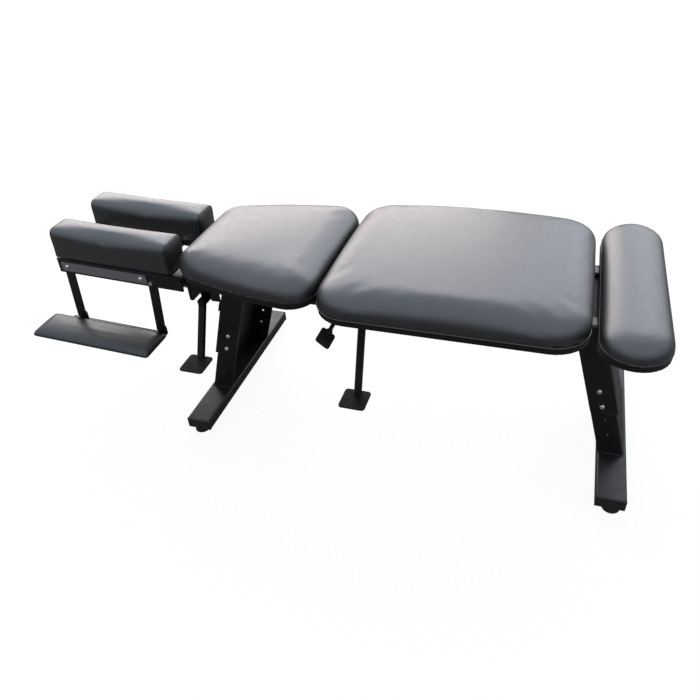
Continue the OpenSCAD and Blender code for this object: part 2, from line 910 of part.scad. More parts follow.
module pedal_brackets() {
    in_frame() color(black_steel) {
        pedal_ears(chest_pedal_x);
        pedal_ears(pelvic_pedal_x);
        both_sides() slab_y(wing_outer - wing_t, wing_outer) wing_profile();
    }
}

module pedal_pivot_pins() {
    half = pedal_arm/2 + ear_fit + ear_t;
    in_frame() color(zinc)
        for (x = [chest_pedal_x, pelvic_pedal_x]) {
            rod_x(pedal_pivot_y, pedal_pivot_z, x - half, x + half, pedal_pin_d);
            for (end = [x - half - pedal_pin_head_h, x + half])
                rod_x(pedal_pivot_y, pedal_pivot_z, end, end + pedal_pin_head_h, pedal_pin_head_d);
        }
}

// Lever with its arm under the rail, its rod down to the foot plate and its roller fork
module pedal_lever(plate_z) {
    ear = roller_w/2 + roller_fit;
    color(black_steel) difference() {
        union() {
            box([-pedal_arm/2, arm_outer_y, arm_bottom], [pedal_arm/2, fork_half, arm_top]);
            slab_x(-pedal_arm/2, pedal_arm/2)
                polygon([[arm_outer_y, arm_bottom], [arm_outer_y + pedal_rod_t, arm_bottom],
                    [foot_plate_y, plate_z], [foot_plate_y - pedal_rod_t, plate_z]]);
            box([-ear - fork_t, -fork_half, arm_top], [ear + fork_t, fork_half, arm_top + fork_base_h]);
            for (x = [-ear - fork_t, ear]) {
                box([x, -fork_half, arm_top], [x + fork_t, fork_half, roller_z]);
                rod_x(0, roller_z, x, x + fork_t, 2*fork_half);
            }
            rod_x(0, roller_z, -ear - fork_t, ear + fork_t, roller_pin_d);
        }
        rod_x(pedal_pivot_y, pedal_pivot_z, -pedal_arm/2 - cut, pedal_arm/2 + cut,
            pedal_pin_d + 2*run_fit);
    }
}

module foot_plate(plate_z) {
    color(black_steel)
        translate([0, foot_plate_y - foot_plate_w/2, plate_z - foot_plate_t])
            linear_extrude(foot_plate_t)
                polygon(round_rect(foot_plate_len/2, foot_plate_w/2, foot_plate_corner, 6, 0));
}

module roller() {
    color(nylon) difference() {
        rod_x(0, roller_z, -roller_w/2, roller_w/2, roller_d);
        rod_x(0, roller_z, -roller_w/2 - cut, roller_w/2 + cut, roller_pin_d + 2*run_fit);
    }
}

module chest_pedal_lever() {
    in_frame() translate([chest_pedal_x, 0, 0]) pedal_lever(chest_pedal_z);
}

module chest_foot_plate() {
    in_frame() translate([chest_pedal_x, 0, 0]) foot_plate(chest_pedal_z);
}

module chest_roller() {
    in_frame() translate([chest_pedal_x, 0, 0]) roller();
}

module pelvic_pedal_lever() {
    in_frame() translate([pelvic_pedal_x, 0, 0]) pedal_lever(pelvic_pedal_z);
}

module pelvic_foot_plate() {
    in_frame() translate([pelvic_pedal_x, 0, 0]) foot_plate(pelvic_pedal_z);
}

module pelvic_roller() {
    in_frame() translate([pelvic_pedal_x, 0, 0]) roller();
}

// Tension lever

// Block under the left rail that the tension shaft turns in
module tension_bearing_block() {
    low = tension_z - tension_shaft_d/2 - bearing_wall;
    in_frame() color(black_steel) difference() {
        box([tension_x - bearing_len/2, -rail_outer, low],
            [tension_x + bearing_len/2, -rail_inner, rail_bottom]);
        rod_y(tension_x, tension_z, -rail_outer - cut, cut - rail_inner,
            tension_shaft_d + 2*run_fit);
    }
}

module tension_shaft() {
    in_frame() color(chrome)
        rod_y(tension_x, tension_z, -paddle_y, shaft_end - cam_y, tension_shaft_d);
}

module tension_paddle() {
    in_frame() color(black_steel) translate([tension_x, -paddle_y, tension_z])
        rotate([0, paddle_tilt, 0]) difference() {
            union() {
                translate([0, -paddle_len/2, -paddle_t/2]) linear_extrude(paddle_t)
                    polygon(round_rect(paddle_w/2, paddle_len/2, paddle_corner, 6, 0));
                rod_y(0, 0, -paddle_hub_grip, paddle_hub_len, paddle_hub_d);
            }
            rod_y(0, 0, 0, paddle_hub_len + cut, tension_shaft_d + 2*run_fit);
        }
}

module tension_cam() {
    in_frame() color(zinc) difference() {
        rod_y(tension_x, tension_z + cam_throw, -cam_y - cam_w, -cam_y, cam_d);
        rod_y(tension_x, tension_z, -cam_y - cam_w - cut, cut - cam_y, tension_shaft_d + 2*run_fit);
    }
}

module plunger_guide() {
    in_frame() color(black_steel) difference() {
        box([guide_x, -rail_inner, tension_z - guide_drop],
            [guide_x + guide_t, guide_reach - rail_inner, rail_bottom + guide_lap]);
        rod_x(-plunger_y, tension_z, guide_x - cut, guide_x + guide_t + cut, plunger_d + 2*run_fit);
    }
}

module tension_plunger() {
    in_frame() color(zinc) {
        rod_x(-plunger_y, tension_z, tension_x + cam_d/2 + cam_gap, plunger_pad_x, plunger_d);
        rod_x(-plunger_y, tension_z, plunger_pad_x, plunger_pad_x + pad_t, pad_d);
    }
}

module friction_plate() {
    mid_y = -plunger_y;
    in_frame() color(light_steel) {
        box([friction_x, mid_y - friction_w/2, board_z - friction_drop],
            [friction_x + friction_t, mid_y + friction_w/2, board_z]);
        box([friction_x, mid_y - friction_w/2, board_z - friction_t],
            [friction_x + friction_foot, mid_y + friction_w/2, board_z]);
    }
}

// Headpiece

module tilt_pivot_bolts() {
    stud_end = head_outer + clamp_hub_h + 2*sheet_fit + pivot_nut_h;
    in_frame() color(zinc) translate([pivot_x, 0, pivot_z]) {
        rod_y(0, 0, -head_outer - sheet_fit, -lug_inner + pivot_nut_h, pivot_bolt_d);
        rod_y(0, 0, -head_outer - sheet_fit - pivot_head_h, -head_outer - sheet_fit, pivot_head_d);
        rod_y(0, 0, lug_inner - pivot_nut_h, stud_end, pivot_bolt_d);
        translate([0, stud_end, 0]) rotate([90, 0, 0])
            cylinder(h = pivot_nut_h, d = pivot_head_d, $fn = 6);
        both_sides() translate([0, lug_inner, 0]) rotate([90, 0, 0])
            cylinder(h = pivot_nut_h, d = pivot_head_d, $fn = 6);
    }
}

module tilt_clamp_lever() {
    y = head_outer + sheet_fit;
    in_frame() color(black_steel) translate([pivot_x, y, pivot_z]) difference() {
        union() {
            rod_y(0, 0, 0, clamp_hub_h, clamp_hub_d);
            box([-clamp_bar_w/2, clamp_hub_h - clamp_bar_t, -clamp_len], [clamp_bar_w/2, clamp_hub_h, 0]);
            translate([0, clamp_hub_h - clamp_bar_t/2, -clamp_len]) sphere(d = clamp_knob_d);
        }
        rod_y(0, 0, -cut, clamp_hub_h + cut, pivot_bolt_d + 2*run_fit);
    }
}

module head_side_plate() {
    slab_y(head_inner, head_outer) difference() {
        union() {
            translate([-head_len, -head_plate_bottom])
                square([head_len + head_toe, head_plate_bottom + head_plate_top]);
            circle(r = head_nose_r);
        }
        circle(d = pivot_bolt_d + 2*run_fit);
        for (u = [inner_rod_reach, outer_rod_reach])
            translate([-u, rod_rise]) circle(d = guide_rod_d + 2*run_fit);
        for (u = [inner_link_reach, outer_link_reach])
            translate([-u, -link_pivot_depth]) circle(d = link_pivot_d + 2*run_fit);
        for (u = screw_reaches)
            translate([-u, -screw_drop]) circle(d = screw_d + 2*bolt_fit);
    }
}

screw_reaches = [side_rail_reach + screw_inset, side_rail_reach + side_rail_len - screw_inset];

module head_side_plates() {
    in_head() color(black_steel) both_sides() head_side_plate();
}

module head_cross_plates() {
    in_head() color(black_steel)
        for (u = [cross_plate_reach + cross_plate_t, head_len])
            box([-u, -head_inner, head_plate_top - cross_plate_h],
                [cross_plate_t - u, head_inner, head_plate_top]);
}

module head_guide_rods() {
    in_head() color(chrome)
        for (u = [inner_rod_reach, outer_rod_reach])
            rod_y(-u, rod_rise, -head_outer, head_outer, guide_rod_d);
}

module head_side_rails() {
    in_head() color(light_steel)
        both_sides() slab_y(head_outer, head_outer + side_rail_t) difference() {
            translate([-side_rail_reach - side_rail_len, -side_rail_mid - side_rail_h/2])
                square([side_rail_len, side_rail_h]);
            for (u = screw_reaches)
                translate([-u, -screw_drop]) circle(d = screw_d + 2*bolt_fit);
        }
}

module side_rail_screws() {
    in_head() color(zinc)
        both_sides() for (u = screw_reaches) {
            rod_y(-u, -screw_drop, head_inner, head_outer + side_rail_t, screw_d);
            translate([-u, head_outer + side_rail_t, -screw_drop]) rotate([-90, 0, 0])
                cylinder(h = screw_head_h, d1 = screw_head_d, d2 = screw_d);
        }
}

// Bolts that carry the links; the outer ones end flush under the side rails
module link_pivot_bolts() {
    in_head() color(zinc)
        both_sides() {
            for (u = [inner_link_reach, outer_link_reach])
                translate([-u, 0, -link_pivot_depth]) {
                    rod_y(0, 0, link_inner - link_nut_h, head_outer, link_pivot_d);
                    translate([0, link_inner - sheet_fit, 0]) rotate([90, 0, 0])
                        cylinder(h = link_nut_h, d = link_head_d, $fn = 6);
                }
            translate([-inner_link_reach, 0, -link_pivot_depth])
                rod_y(0, 0, head_outer, head_outer + link_head_h, link_head_d);
        }
}

// Face cushions

module face_carrier() {
    half_len = face_len/2 - carrier_inset;
    half_w = face_w/2 - carrier_inset;
    mid_u = -face_end_reach - face_len/2;
    mid_y = face_gap/2 + face_w/2;
    block_y = face_gap/2 + carrier_block_y;
    color(black_steel) difference() {
        union() {
            translate([mid_u, mid_y, carrier_z]) linear_extrude(face_board_t)
                polygon(round_rect(half_len, half_w, face_corner_r - carrier_inset, 6, 0));
            for (u = [inner_rod_reach, outer_rod_reach])
                box([-u - carrier_block_len/2, block_y, -carrier_block_drop],
                    [-u + carrier_block_len/2, block_y + carrier_block_w, carrier_z]);
        }
        for (u = [inner_rod_reach, outer_rod_reach])
            rod_y(-u, rod_rise, block_y - cut, block_y + carrier_block_w + cut,
                guide_rod_d + 2*run_fit);
    }
}

module face_cushion() {
    color(vinyl)
        translate([-face_end_reach - face_len/2, face_gap/2 + face_w/2, carrier_z + face_board_t])
            padded_form(face_len/2, face_w/2, face_corner_r, face_h, face_edge_r, face_crown,
                face_draw, face_side_share, 0, 5, 3, 1);
}

module left_face_carrier() {
    in_head() mirror([0, 1, 0]) face_carrier();
}

module left_face_cushion() {
    in_head() mirror([0, 1, 0]) face_cushion();
}

module right_face_carrier() {
    in_head() face_carrier();
}

module right_face_cushion() {
    in_head() face_cushion();
}

// Armrests

module link(reach) {
    color(black_steel) translate([-reach, 0, -link_pivot_depth]) rotate([0, link_swing, 0])
        slab_y(link_inner, link_outer) difference() {
            union() {
                translate([-link_w/2, -link_len]) square([link_w, link_len]);
                circle(d = link_w);
                translate([0, -link_len]) circle(d = link_w);
            }
            circle(d = link_pivot_d + 2*run_fit);
            translate([0, -link_len]) circle(d = link_pivot_d + 2*run_fit);
        }
}

module armrest_bracket() {
    tab_outer = link_inner - ear_fit;
    tab_inner = tab_outer - bracket_tab_t;
    head_outer_y = link_outer + sheet_fit;
    from_u = -outer_link_reach - link_low_shift - bracket_margin;
    to_u = -inner_link_reach - link_low_shift + bracket_tab_half;
    color(black_steel) {
        box([from_u, tab_inner, pad_z - bracket_t], [to_u, tab_inner + bracket_w, pad_z]);
        for (u = [inner_link_reach, outer_link_reach])
            translate([-u - link_low_shift, 0, 0]) {
                box([-bracket_tab_half, tab_inner, pad_z - bracket_t],
                    [bracket_tab_half, tab_outer, link_low_z]);
                rod_y(0, link_low_z, tab_inner, tab_outer, 2*bracket_tab_half);
                rod_y(0, link_low_z, tab_inner, head_outer_y, link_pivot_d);
                rod_y(0, link_low_z, head_outer_y, head_outer_y + link_head_h, link_head_d);
            }
    }
}

module armrest_pad() {
    color(vinyl) translate([-pad_mid_reach, pad_inner_y + pad_w/2, pad_z])
        padded_form(pad_len/2, pad_w/2, pad_corner_r, pad_edge_h + pad_crown, pad_edge_r,
            pad_crown*pad_crown_share, pad_draw, pad_side_share, 0, 6, 3, 1);
}

module left_outer_link() {
    in_head() mirror([0, 1, 0]) link(outer_link_reach);
}

module left_inner_link() {
    in_head() mirror([0, 1, 0]) link(inner_link_reach);
}

module left_armrest_bracket() {
    in_head() mirror([0, 1, 0]) armrest_bracket();
}

module left_armrest_pad() {
    in_head() mirror([0, 1, 0]) armrest_pad();
}

module right_outer_link() {
    in_head() link(outer_link_reach);
}

module right_inner_link() {
    in_head() link(inner_link_reach);
}

module right_armrest_bracket() {
    in_head() armrest_bracket();
}

module right_armrest_pad() {
    in_head() armrest_pad();
}

front_foot_bar();
rear_foot_bar();
plastic_end_caps();
rubber_feet();
front_lower_leg();
rear_lower_leg();
front_upper_leg();
rear_upper_leg();
web_doublers();
leg_bolts();
left_rail();
right_rail();
front_end_plate();
cross_tubes();
drop_hinge_shafts();
landing_buffers();
pedal_brackets();
pedal_pivot_pins();
foot_board();
foot_cushion();
foot_board_spacers();
tension_bearing_block();
plunger_guide();
tilt_pivot_bolts();
chest_board();
chest_cushion();
chest_lift_bar();
pelvic_board();
pelvic_cushion();
pelvic_lift_bar();
friction_plate();
chest_pedal_lever();
chest_foot_plate();
chest_roller();
pelvic_pedal_lever();
pelvic_foot_plate();
pelvic_roller();
tension_shaft();
tension_paddle();
tension_cam();
tension_plunger();
tilt_clamp_lever();
head_side_plates();
head_cross_plates();
head_guide_rods();
head_side_rails();
side_rail_screws();
link_pivot_bolts();
left_face_carrier();
left_face_cushion();
right_face_carrier();
right_face_cushion();
left_outer_link();
left_inner_link();
left_armrest_bracket();
left_armrest_pad();
right_outer_link();
right_inner_link();
right_armrest_bracket();
right_armrest_pad();
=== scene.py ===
# %% [markdown]
# # A chiropractic table, dressed for its picture
# The steel frame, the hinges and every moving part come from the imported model.
# This lesson adds what the eye sees: padded vinyl cushions with their welts and
# seams, rounded tubes, eased plate edges, bolt heads, staples and weld beads.

import json
import math
from collections import namedtuple

import bmesh
import bpy
from mathutils import Euler, Matrix, Vector
from mathutils.bvhtree import BVHTree


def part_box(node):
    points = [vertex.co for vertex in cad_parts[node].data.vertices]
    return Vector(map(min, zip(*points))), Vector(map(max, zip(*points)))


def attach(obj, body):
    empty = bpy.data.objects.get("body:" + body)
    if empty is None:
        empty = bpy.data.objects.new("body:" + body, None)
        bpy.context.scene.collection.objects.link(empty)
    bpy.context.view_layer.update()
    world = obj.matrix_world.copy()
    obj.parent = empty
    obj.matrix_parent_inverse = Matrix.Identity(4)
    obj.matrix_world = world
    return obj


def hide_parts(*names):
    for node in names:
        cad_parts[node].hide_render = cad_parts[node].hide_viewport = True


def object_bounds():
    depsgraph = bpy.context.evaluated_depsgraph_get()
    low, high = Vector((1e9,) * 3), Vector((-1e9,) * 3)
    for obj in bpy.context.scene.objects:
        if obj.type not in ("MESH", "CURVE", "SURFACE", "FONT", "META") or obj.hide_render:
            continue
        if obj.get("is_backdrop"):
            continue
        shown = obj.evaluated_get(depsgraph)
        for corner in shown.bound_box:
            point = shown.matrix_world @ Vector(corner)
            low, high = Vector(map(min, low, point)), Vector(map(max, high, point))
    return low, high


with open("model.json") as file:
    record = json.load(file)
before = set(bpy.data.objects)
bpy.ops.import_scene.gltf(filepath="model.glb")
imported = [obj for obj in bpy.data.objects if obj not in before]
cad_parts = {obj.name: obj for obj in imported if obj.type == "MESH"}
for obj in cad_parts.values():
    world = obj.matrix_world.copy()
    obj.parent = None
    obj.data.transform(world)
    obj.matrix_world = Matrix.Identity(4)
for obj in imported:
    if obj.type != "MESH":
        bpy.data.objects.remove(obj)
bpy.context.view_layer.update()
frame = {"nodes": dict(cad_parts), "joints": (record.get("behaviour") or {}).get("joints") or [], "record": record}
scene = bpy.context.scene
body_of_node = {
    node: body
    for body, nodes in frame["record"]["behaviour"]["bodies"].items()
    for node in nodes
}

# %% [markdown]
# ## The camera
# The picture was taken from near the foot end, looking down across the table.
# A camera can be aimed with a Track To constraint, but that leaves no roll.
# Here its three axes are written out from yaw, pitch and roll, which were
# solved from the straight edges of the legs, the foot bars and the cushions.

# %% Place the camera
def look(location, yaw, pitch, roll, lens):
    """A camera with the given angles in degrees; yaw 0 looks along +Y."""
    yaw, pitch, roll = (math.radians(v) for v in (yaw, pitch, roll))
    ahead = Vector((math.sin(yaw) * math.cos(pitch), math.cos(yaw) * math.cos(pitch), -math.sin(pitch)))
    right = Vector((math.cos(yaw), -math.sin(yaw), 0))
    up = right.cross(ahead)
    level_right = right * math.cos(roll) + up * math.sin(roll)
    level_up = up * math.cos(roll) - right * math.sin(roll)
    camera = bpy.data.objects.new("camera", bpy.data.cameras.new("camera"))
    camera.data.sensor_width = 36
    camera.data.lens = lens
    turn = Matrix((level_right, level_up, -ahead)).transposed().to_4x4()
    camera.matrix_world = Matrix.Translation(location) @ turn
    scene.collection.objects.link(camera)
    return camera


scene.camera = look((0.6132, -1.4865, 1.3706), yaw=-20.46, pitch=37.24, roll=-4.37, lens=32.86)
scene.view_settings.view_transform = "Standard"
print("lens:", round(scene.camera.data.lens, 2), "mm")

# %% [markdown]
# ## Small helpers for nodes and materials
# Every finish is a Principled shader with its detail made by nodes. All of them
# read Object coordinates, so a pattern stays on its piece when a joint moves.
# A socket knows the tree it belongs to, so a helper only needs the socket.

# %% Helpers for the nodes
def node(tree, kind, inputs=(), **settings):
    """A new node; settings are its own properties, and inputs gives values to its sockets."""
    made = tree.nodes.new(kind)
    for name, value in settings.items():
        setattr(made, name, value)
    for name, value in dict(inputs).items():
        made.inputs[name].default_value = value
    return made


def fed(source, socket, kind, inputs=(), **settings):
    """A new node whose socket takes source."""
    made = node(source.id_data, kind, inputs, **settings)
    source.id_data.links.new(source, made.inputs[socket])
    return made


def wire(tree, *wires):
    """Each wire is (from node, its output, to node, its input)."""
    for source, output, target, socket in wires:
        tree.links.new(source.outputs[output], target.inputs[socket])


def mapped(value, start, end, low, high, **settings):
    limits = {"From Min": start, "From Max": end, "To Min": low, "To Max": high}
    return fed(value, "Value", "ShaderNodeMapRange", limits, **settings).outputs["Result"]


print("node helpers ready")

# %% Helpers for the materials
def finish_named(name, colour, roughness, metallic=0.0, specular=0.5):
    material = bpy.data.materials.new(name)
    material.use_nodes = True
    material.diffuse_color = (*colour, 1)
    values = {"Base Color": (*colour, 1), "Roughness": roughness, "Metallic": metallic,
              "Specular IOR Level": specular}
    for socket, value in values.items():
        material.node_tree.nodes["Principled BSDF"].inputs[socket].default_value = value
    return material


def place_coordinates(material, stretch=(1, 1, 1)):
    """Object coordinates, stretched along an axis for brushed or streaked finishes."""
    where = node(material.node_tree, "ShaderNodeTexCoord").outputs["Object"]
    return fed(where, "Vector", "ShaderNodeMapping", {"Scale": stretch}).outputs["Vector"]


def noise(where, scale, detail=2.0):
    return fed(where, "Vector", "ShaderNodeTexNoise", {"Scale": scale, "Detail": detail}).outputs["Fac"]


def cells(where, scale):
    return fed(where, "Vector", "ShaderNodeTexVoronoi", {"Scale": scale}).outputs["Distance"]


def spread(value, low, high):
    """Maps the busy part of a noise to a range, for roughness or for a mix factor."""
    return mapped(value, 0.3, 0.7, low, high)


def colour_between(factor, first, second):
    ends = {"A": (*first, 1), "B": (*second, 1)}
    return fed(factor, "Factor", "ShaderNodeMix", ends, data_type="RGBA").outputs["Result"]


def feed(socket, value):
    """Gives a value to the shader of its material."""
    tree = value.id_data
    tree.links.new(value, tree.nodes["Principled BSDF"].inputs[socket])


def raise_surface(*heights):
    """Chains bumps: each entry is (height, strength, distance in metres)."""
    normal = None
    for height, strength, distance in heights:
        bump = fed(height, "Height", "ShaderNodeBump", {"Strength": strength, "Distance": distance})
        if normal:
            height.id_data.links.new(normal, bump.inputs["Normal"])
        normal = bump.outputs["Normal"]
    feed("Normal", normal)


print("material helpers ready")

# %% [markdown]
# ## Black upholstery vinyl
# The cover is coated knit fabric: nearly black, with a satin skin that turns
# grey where it mirrors a bright wall. Fine pebble grain comes from Voronoi
# cells with a little noise over them. A slow, broad noise lets the foam below
# show as faint unevenness, which keeps the highlights from looking moulded.

# %% Make the vinyl
def upholstery_vinyl(name, dark, light, roughness, specular, coat):
    """The cover drifts between two greys and between two roughnesses."""
    material = finish_named(name, dark, roughness[0], specular=specular)
    shader = material.node_tree.nodes["Principled BSDF"]
    shader.inputs["Coat Weight"].default_value = coat
    shader.inputs["Coat Roughness"].default_value = 0.42
    where = place_coordinates(material)
    feed("Base Color", colour_between(spread(noise(where, 26, 3), 0, 1), dark, light))
    feed("Roughness", spread(noise(where, 60, 4), *roughness))
    raise_surface((noise(where, 7, 1.5), 0.05, 0.003),
                  (cells(where, 1100), 0.10, 0.00025),
                  (noise(where, 2400, 2), 0.08, 0.0002))
    return material


vinyl = upholstery_vinyl("satin_black_vinyl", dark=(0.008, 0.008, 0.009), light=(0.013, 0.013, 0.0135),
                         roughness=(0.38, 0.44), specular=1.0, coat=0.25)
# Painted shade: the armrest pads take a darker, less glossy copy of the same vinyl, so that they look shaded.
arm_vinyl_shaded = upholstery_vinyl("armrest_vinyl", dark=(0.006, 0.006, 0.007), light=(0.010, 0.010, 0.0105),
                             roughness=(0.42, 0.48), specular=0.6, coat=0.1)
# Painted shade: the wrapped board edges take the darkest, least glossy copy of the vinyl, for the dark band under
# the cushions.
wrap_vinyl_shaded = upholstery_vinyl("wrapped_edge_vinyl", dark=(0.005, 0.005, 0.006), light=(0.008, 0.008, 0.008),
                              roughness=(0.42, 0.50), specular=0.3, coat=0.1)
thread = finish_named("bonded_thread", (0.018, 0.018, 0.02), 0.55)
raise_surface((noise(place_coordinates(thread, (1, 1, 3)), 900), 0.4, 0.0003))
print("vinyl:", vinyl.name, arm_vinyl_shaded.name, wrap_vinyl_shaded.name)

# %% [markdown]
# ## Powder coat, rubber, plastic and nylon
# Powder coat flows into a faint orange peel, and moulded parts keep the grain
# of their mould. Both are one recipe: the colour drifts to a lighter shade, a
# cloudy noise moves the roughness, and a fine noise is the grain.

# %% Make the coated and moulded finishes
def coated(name, colour, lighter, roughness, specular, drift, cloud, grain, strength):
    """drift, cloud and grain: scale and detail of the noise for colour, roughness and bump."""
    material = finish_named(name, colour, roughness[0], specular=specular)
    where = place_coordinates(material)
    pale = tuple(lighter * value for value in colour)
    feed("Base Color", colour_between(spread(noise(where, *drift), 0, 1), colour, pale))
    feed("Roughness", spread(noise(where, *cloud), *roughness))
    raise_surface((noise(where, *grain), strength, 0.0003))
    return material


def powder_coat(name, colour, roughness, specular):
    return coated(name, colour, 1.5, roughness, specular, (18, 4), (35, 3), (750, 1), 0.12)


def moulded(name, colour, roughness, grain, strength):
    return coated(name, colour, 1.35, roughness, 0.4, (12, 3), (40, 3), (grain, 2), strength)


black_coat = powder_coat("black_powder_coat", (0.0045, 0.0045, 0.005), (0.38, 0.50), specular=0.42)
matt_coat = powder_coat("matt_black_coat", (0.005, 0.005, 0.0055), (0.56, 0.66), specular=0.24)
rubber = moulded("black_rubber", (0.014, 0.014, 0.014), (0.66, 0.82), grain=500, strength=0.25)
plastic = moulded("black_plastic", (0.016, 0.016, 0.017), (0.46, 0.58), grain=1300, strength=0.15)
nylon = moulded("natural_nylon", (0.52, 0.51, 0.47), (0.38, 0.5), grain=300, strength=0.05)
print("coated and moulded:", black_coat.name, matt_coat.name, rubber.name, plastic.name, nylon.name)

# %% [markdown]
# ## Bare and plated metal
# Zinc plate is a soft, cloudy metal, and chrome is nearly a mirror. The side
# rails are drawn steel, so their noise is stretched along the rail, as the die
# left it.

# %% Make the metal finishes
def plated(name, colour, roughness, stretch, scale):
    material = finish_named(name, colour, roughness[0], metallic=1.0)
    where = place_coordinates(material, stretch)
    feed("Roughness", spread(noise(where, scale, 4), *roughness))
    raise_surface((noise(where, scale * 4, 2), 0.06, 0.0002))
    return material


black_oxide = plated("black_oxide", (0.055, 0.055, 0.06), (0.36, 0.5), stretch=(1, 1, 1), scale=140)
zinc = plated("zinc_plate", (0.68, 0.69, 0.70), (0.30, 0.44), stretch=(1, 1, 1), scale=120)
chrome = plated("bright_chrome", (0.86, 0.87, 0.89), (0.06, 0.14), stretch=(1, 6, 6), scale=60)
drawn_steel = plated("drawn_steel", (0.36, 0.36, 0.375), (0.40, 0.52), stretch=(0.15, 4, 4), scale=160)
print("metals:", black_oxide.name, zinc.name, chrome.name, drawn_steel.name)

# %% [markdown]
# ## Small helpers for pieces
# A piece is a mesh with its place in its vertices, on an object at the origin.
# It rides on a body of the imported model, and it may stand for one or more of
# the model's nodes, which are then hidden.

# %% Helpers that add a piece
def mesh_from(name, points, faces, edges=()):
    mesh = bpy.data.meshes.new(name)
    mesh.from_pydata([tuple(p) for p in points], list(edges), [tuple(f) for f in faces])
    mesh.update()
    return mesh


def mesh_of(name, bm):
    """Turns a bmesh into a new mesh and frees it."""
    mesh = bpy.data.meshes.new(name)
    bm.to_mesh(mesh)
    bm.free()
    return mesh


def new_object(name, mesh):
    made = bpy.data.objects.new(name, mesh)
    scene.collection.objects.link(made)
    return made


def joined(name, parts):
    """One mesh from several pairs of points and faces."""
    points, faces = [], []
    for some_points, some_faces in parts:
        faces += [tuple(i + len(points) for i in face) for face in some_faces]
        points += some_points
    return mesh_from(name, points, faces)


def settle(piece, body, material, stands_for=()):
    """Gives a finished piece its material and its body, and hides the nodes it stands for."""
    piece.data.materials.clear()
    piece.data.materials.append(material)
    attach(piece, body)
    if stands_for:
        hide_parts(*stands_for)
    return piece


def plain_mesh(piece):
    """Bakes the modifiers of an object into its mesh and removes them."""
    bpy.context.view_layer.update()
    graph = bpy.context.evaluated_depsgraph_get()
    mesh = bpy.data.meshes.new_from_object(piece.evaluated_get(graph), depsgraph=graph)
    piece.modifiers.clear()
    old, piece.data = piece.data, mesh
    mesh.name = piece.name
    if old.users == 0:
        bpy.data.meshes.remove(old)
    return piece


def shade_smooth(mesh):
    for polygon in mesh.polygons:
        polygon.use_smooth = True


def shade_by_angle(mesh, degrees):
    shade_smooth(mesh)
    mesh.set_sharp_from_angle(angle=math.radians(degrees))


def dress(material, *nodes):
    """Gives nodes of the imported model, which keep their shape, a better material."""
    for node_name in nodes:
        frame["nodes"][node_name].data.materials[0] = material


print("piece helpers ready")

# %% [markdown]
# ## Geometry Nodes helpers
# What follows a path or repeats is made by node trees: welts, stitches,
# staples, bolt heads and weld beads. A tree is built here by code, its sizes
# are named inputs, and its result is baked to a plain mesh.

# %% Helpers for node trees
def new_tree(name, inputs):
    tree = bpy.data.node_groups.new(name, "GeometryNodeTree")
    tree.interface.new_socket("Geometry", in_out="INPUT", socket_type="NodeSocketGeometry")
    for label, kind in inputs.items():
        tree.interface.new_socket(label, in_out="INPUT", socket_type="NodeSocket" + kind)
    tree.interface.new_socket("Geometry", in_out="OUTPUT", socket_type="NodeSocketGeometry")
    return tree, tree.nodes.new("NodeGroupInput"), tree.nodes.new("NodeGroupOutput")


def bake_tree(piece, tree, **values):
    """Runs a tree on an object, with a value for each input that the tree names."""
    modifier = piece.modifiers.new(tree.name, "NODES")
    modifier.node_group = tree
    for item in tree.interface.items_tree:
        label = item.name.lower()
        if item.in_out == "INPUT" and label in values:
            modifier[item.identifier] = values[label]
    return plain_mesh(piece)


def path_object(name, paths, closed=True):
    """Edges only: each path is a chain of points, closed to a loop if asked."""
    points, edges = [], []
    for path in paths:
        first = len(points)
        points += list(path)
        edges += [(first + i, first + i + 1) for i in range(len(path) - 1)]
        if closed:
            edges.append((len(points) - 1, first))
    return new_object(name, mesh_from(name, points, [], edges))


print("tree helpers ready")

# %% [markdown]
# ## A cord along a path
# Welts and seam ridges are cords. The path's edges become a curve, and a
# circle swept along it makes the skin, so only radius and sides are chosen.

# %% The tree that sweeps a cord along a path
def cord_tree():
    tree, start, end = new_tree("sweep_a_cord", {"Radius": "Float", "Sides": "Int", "Finish": "Material"})
    line = node(tree, "GeometryNodeMeshToCurve")
    profile = node(tree, "GeometryNodeCurvePrimitiveCircle")
    sweep = node(tree, "GeometryNodeCurveToMesh", {"Fill Caps": True})
    smooth = node(tree, "GeometryNodeSetShadeSmooth")
    paint = node(tree, "GeometryNodeSetMaterial")
    wire(tree,
         (start, "Geometry", line, "Mesh"),
         (start, "Radius", profile, "Radius"),
         (start, "Sides", profile, "Resolution"),
         (line, "Curve", sweep, "Curve"),
         (profile, "Curve", sweep, "Profile Curve"),
         (sweep, "Mesh", smooth, "Geometry"),
         (smooth, "Geometry", paint, "Geometry"),
         (start, "Finish", paint, "Material"),
         (paint, "Geometry", end, "Geometry"))
    return tree


sweep_cord = cord_tree()
print("tree:", sweep_cord.name)

# %% [markdown]
# ## One thing on each point
# Bolt heads, stitches, staples and weld puddles are copies of one thing. Each
# point carries two vectors: "outward", which the thing's Z axis follows, and
# "along", which its X axis follows.

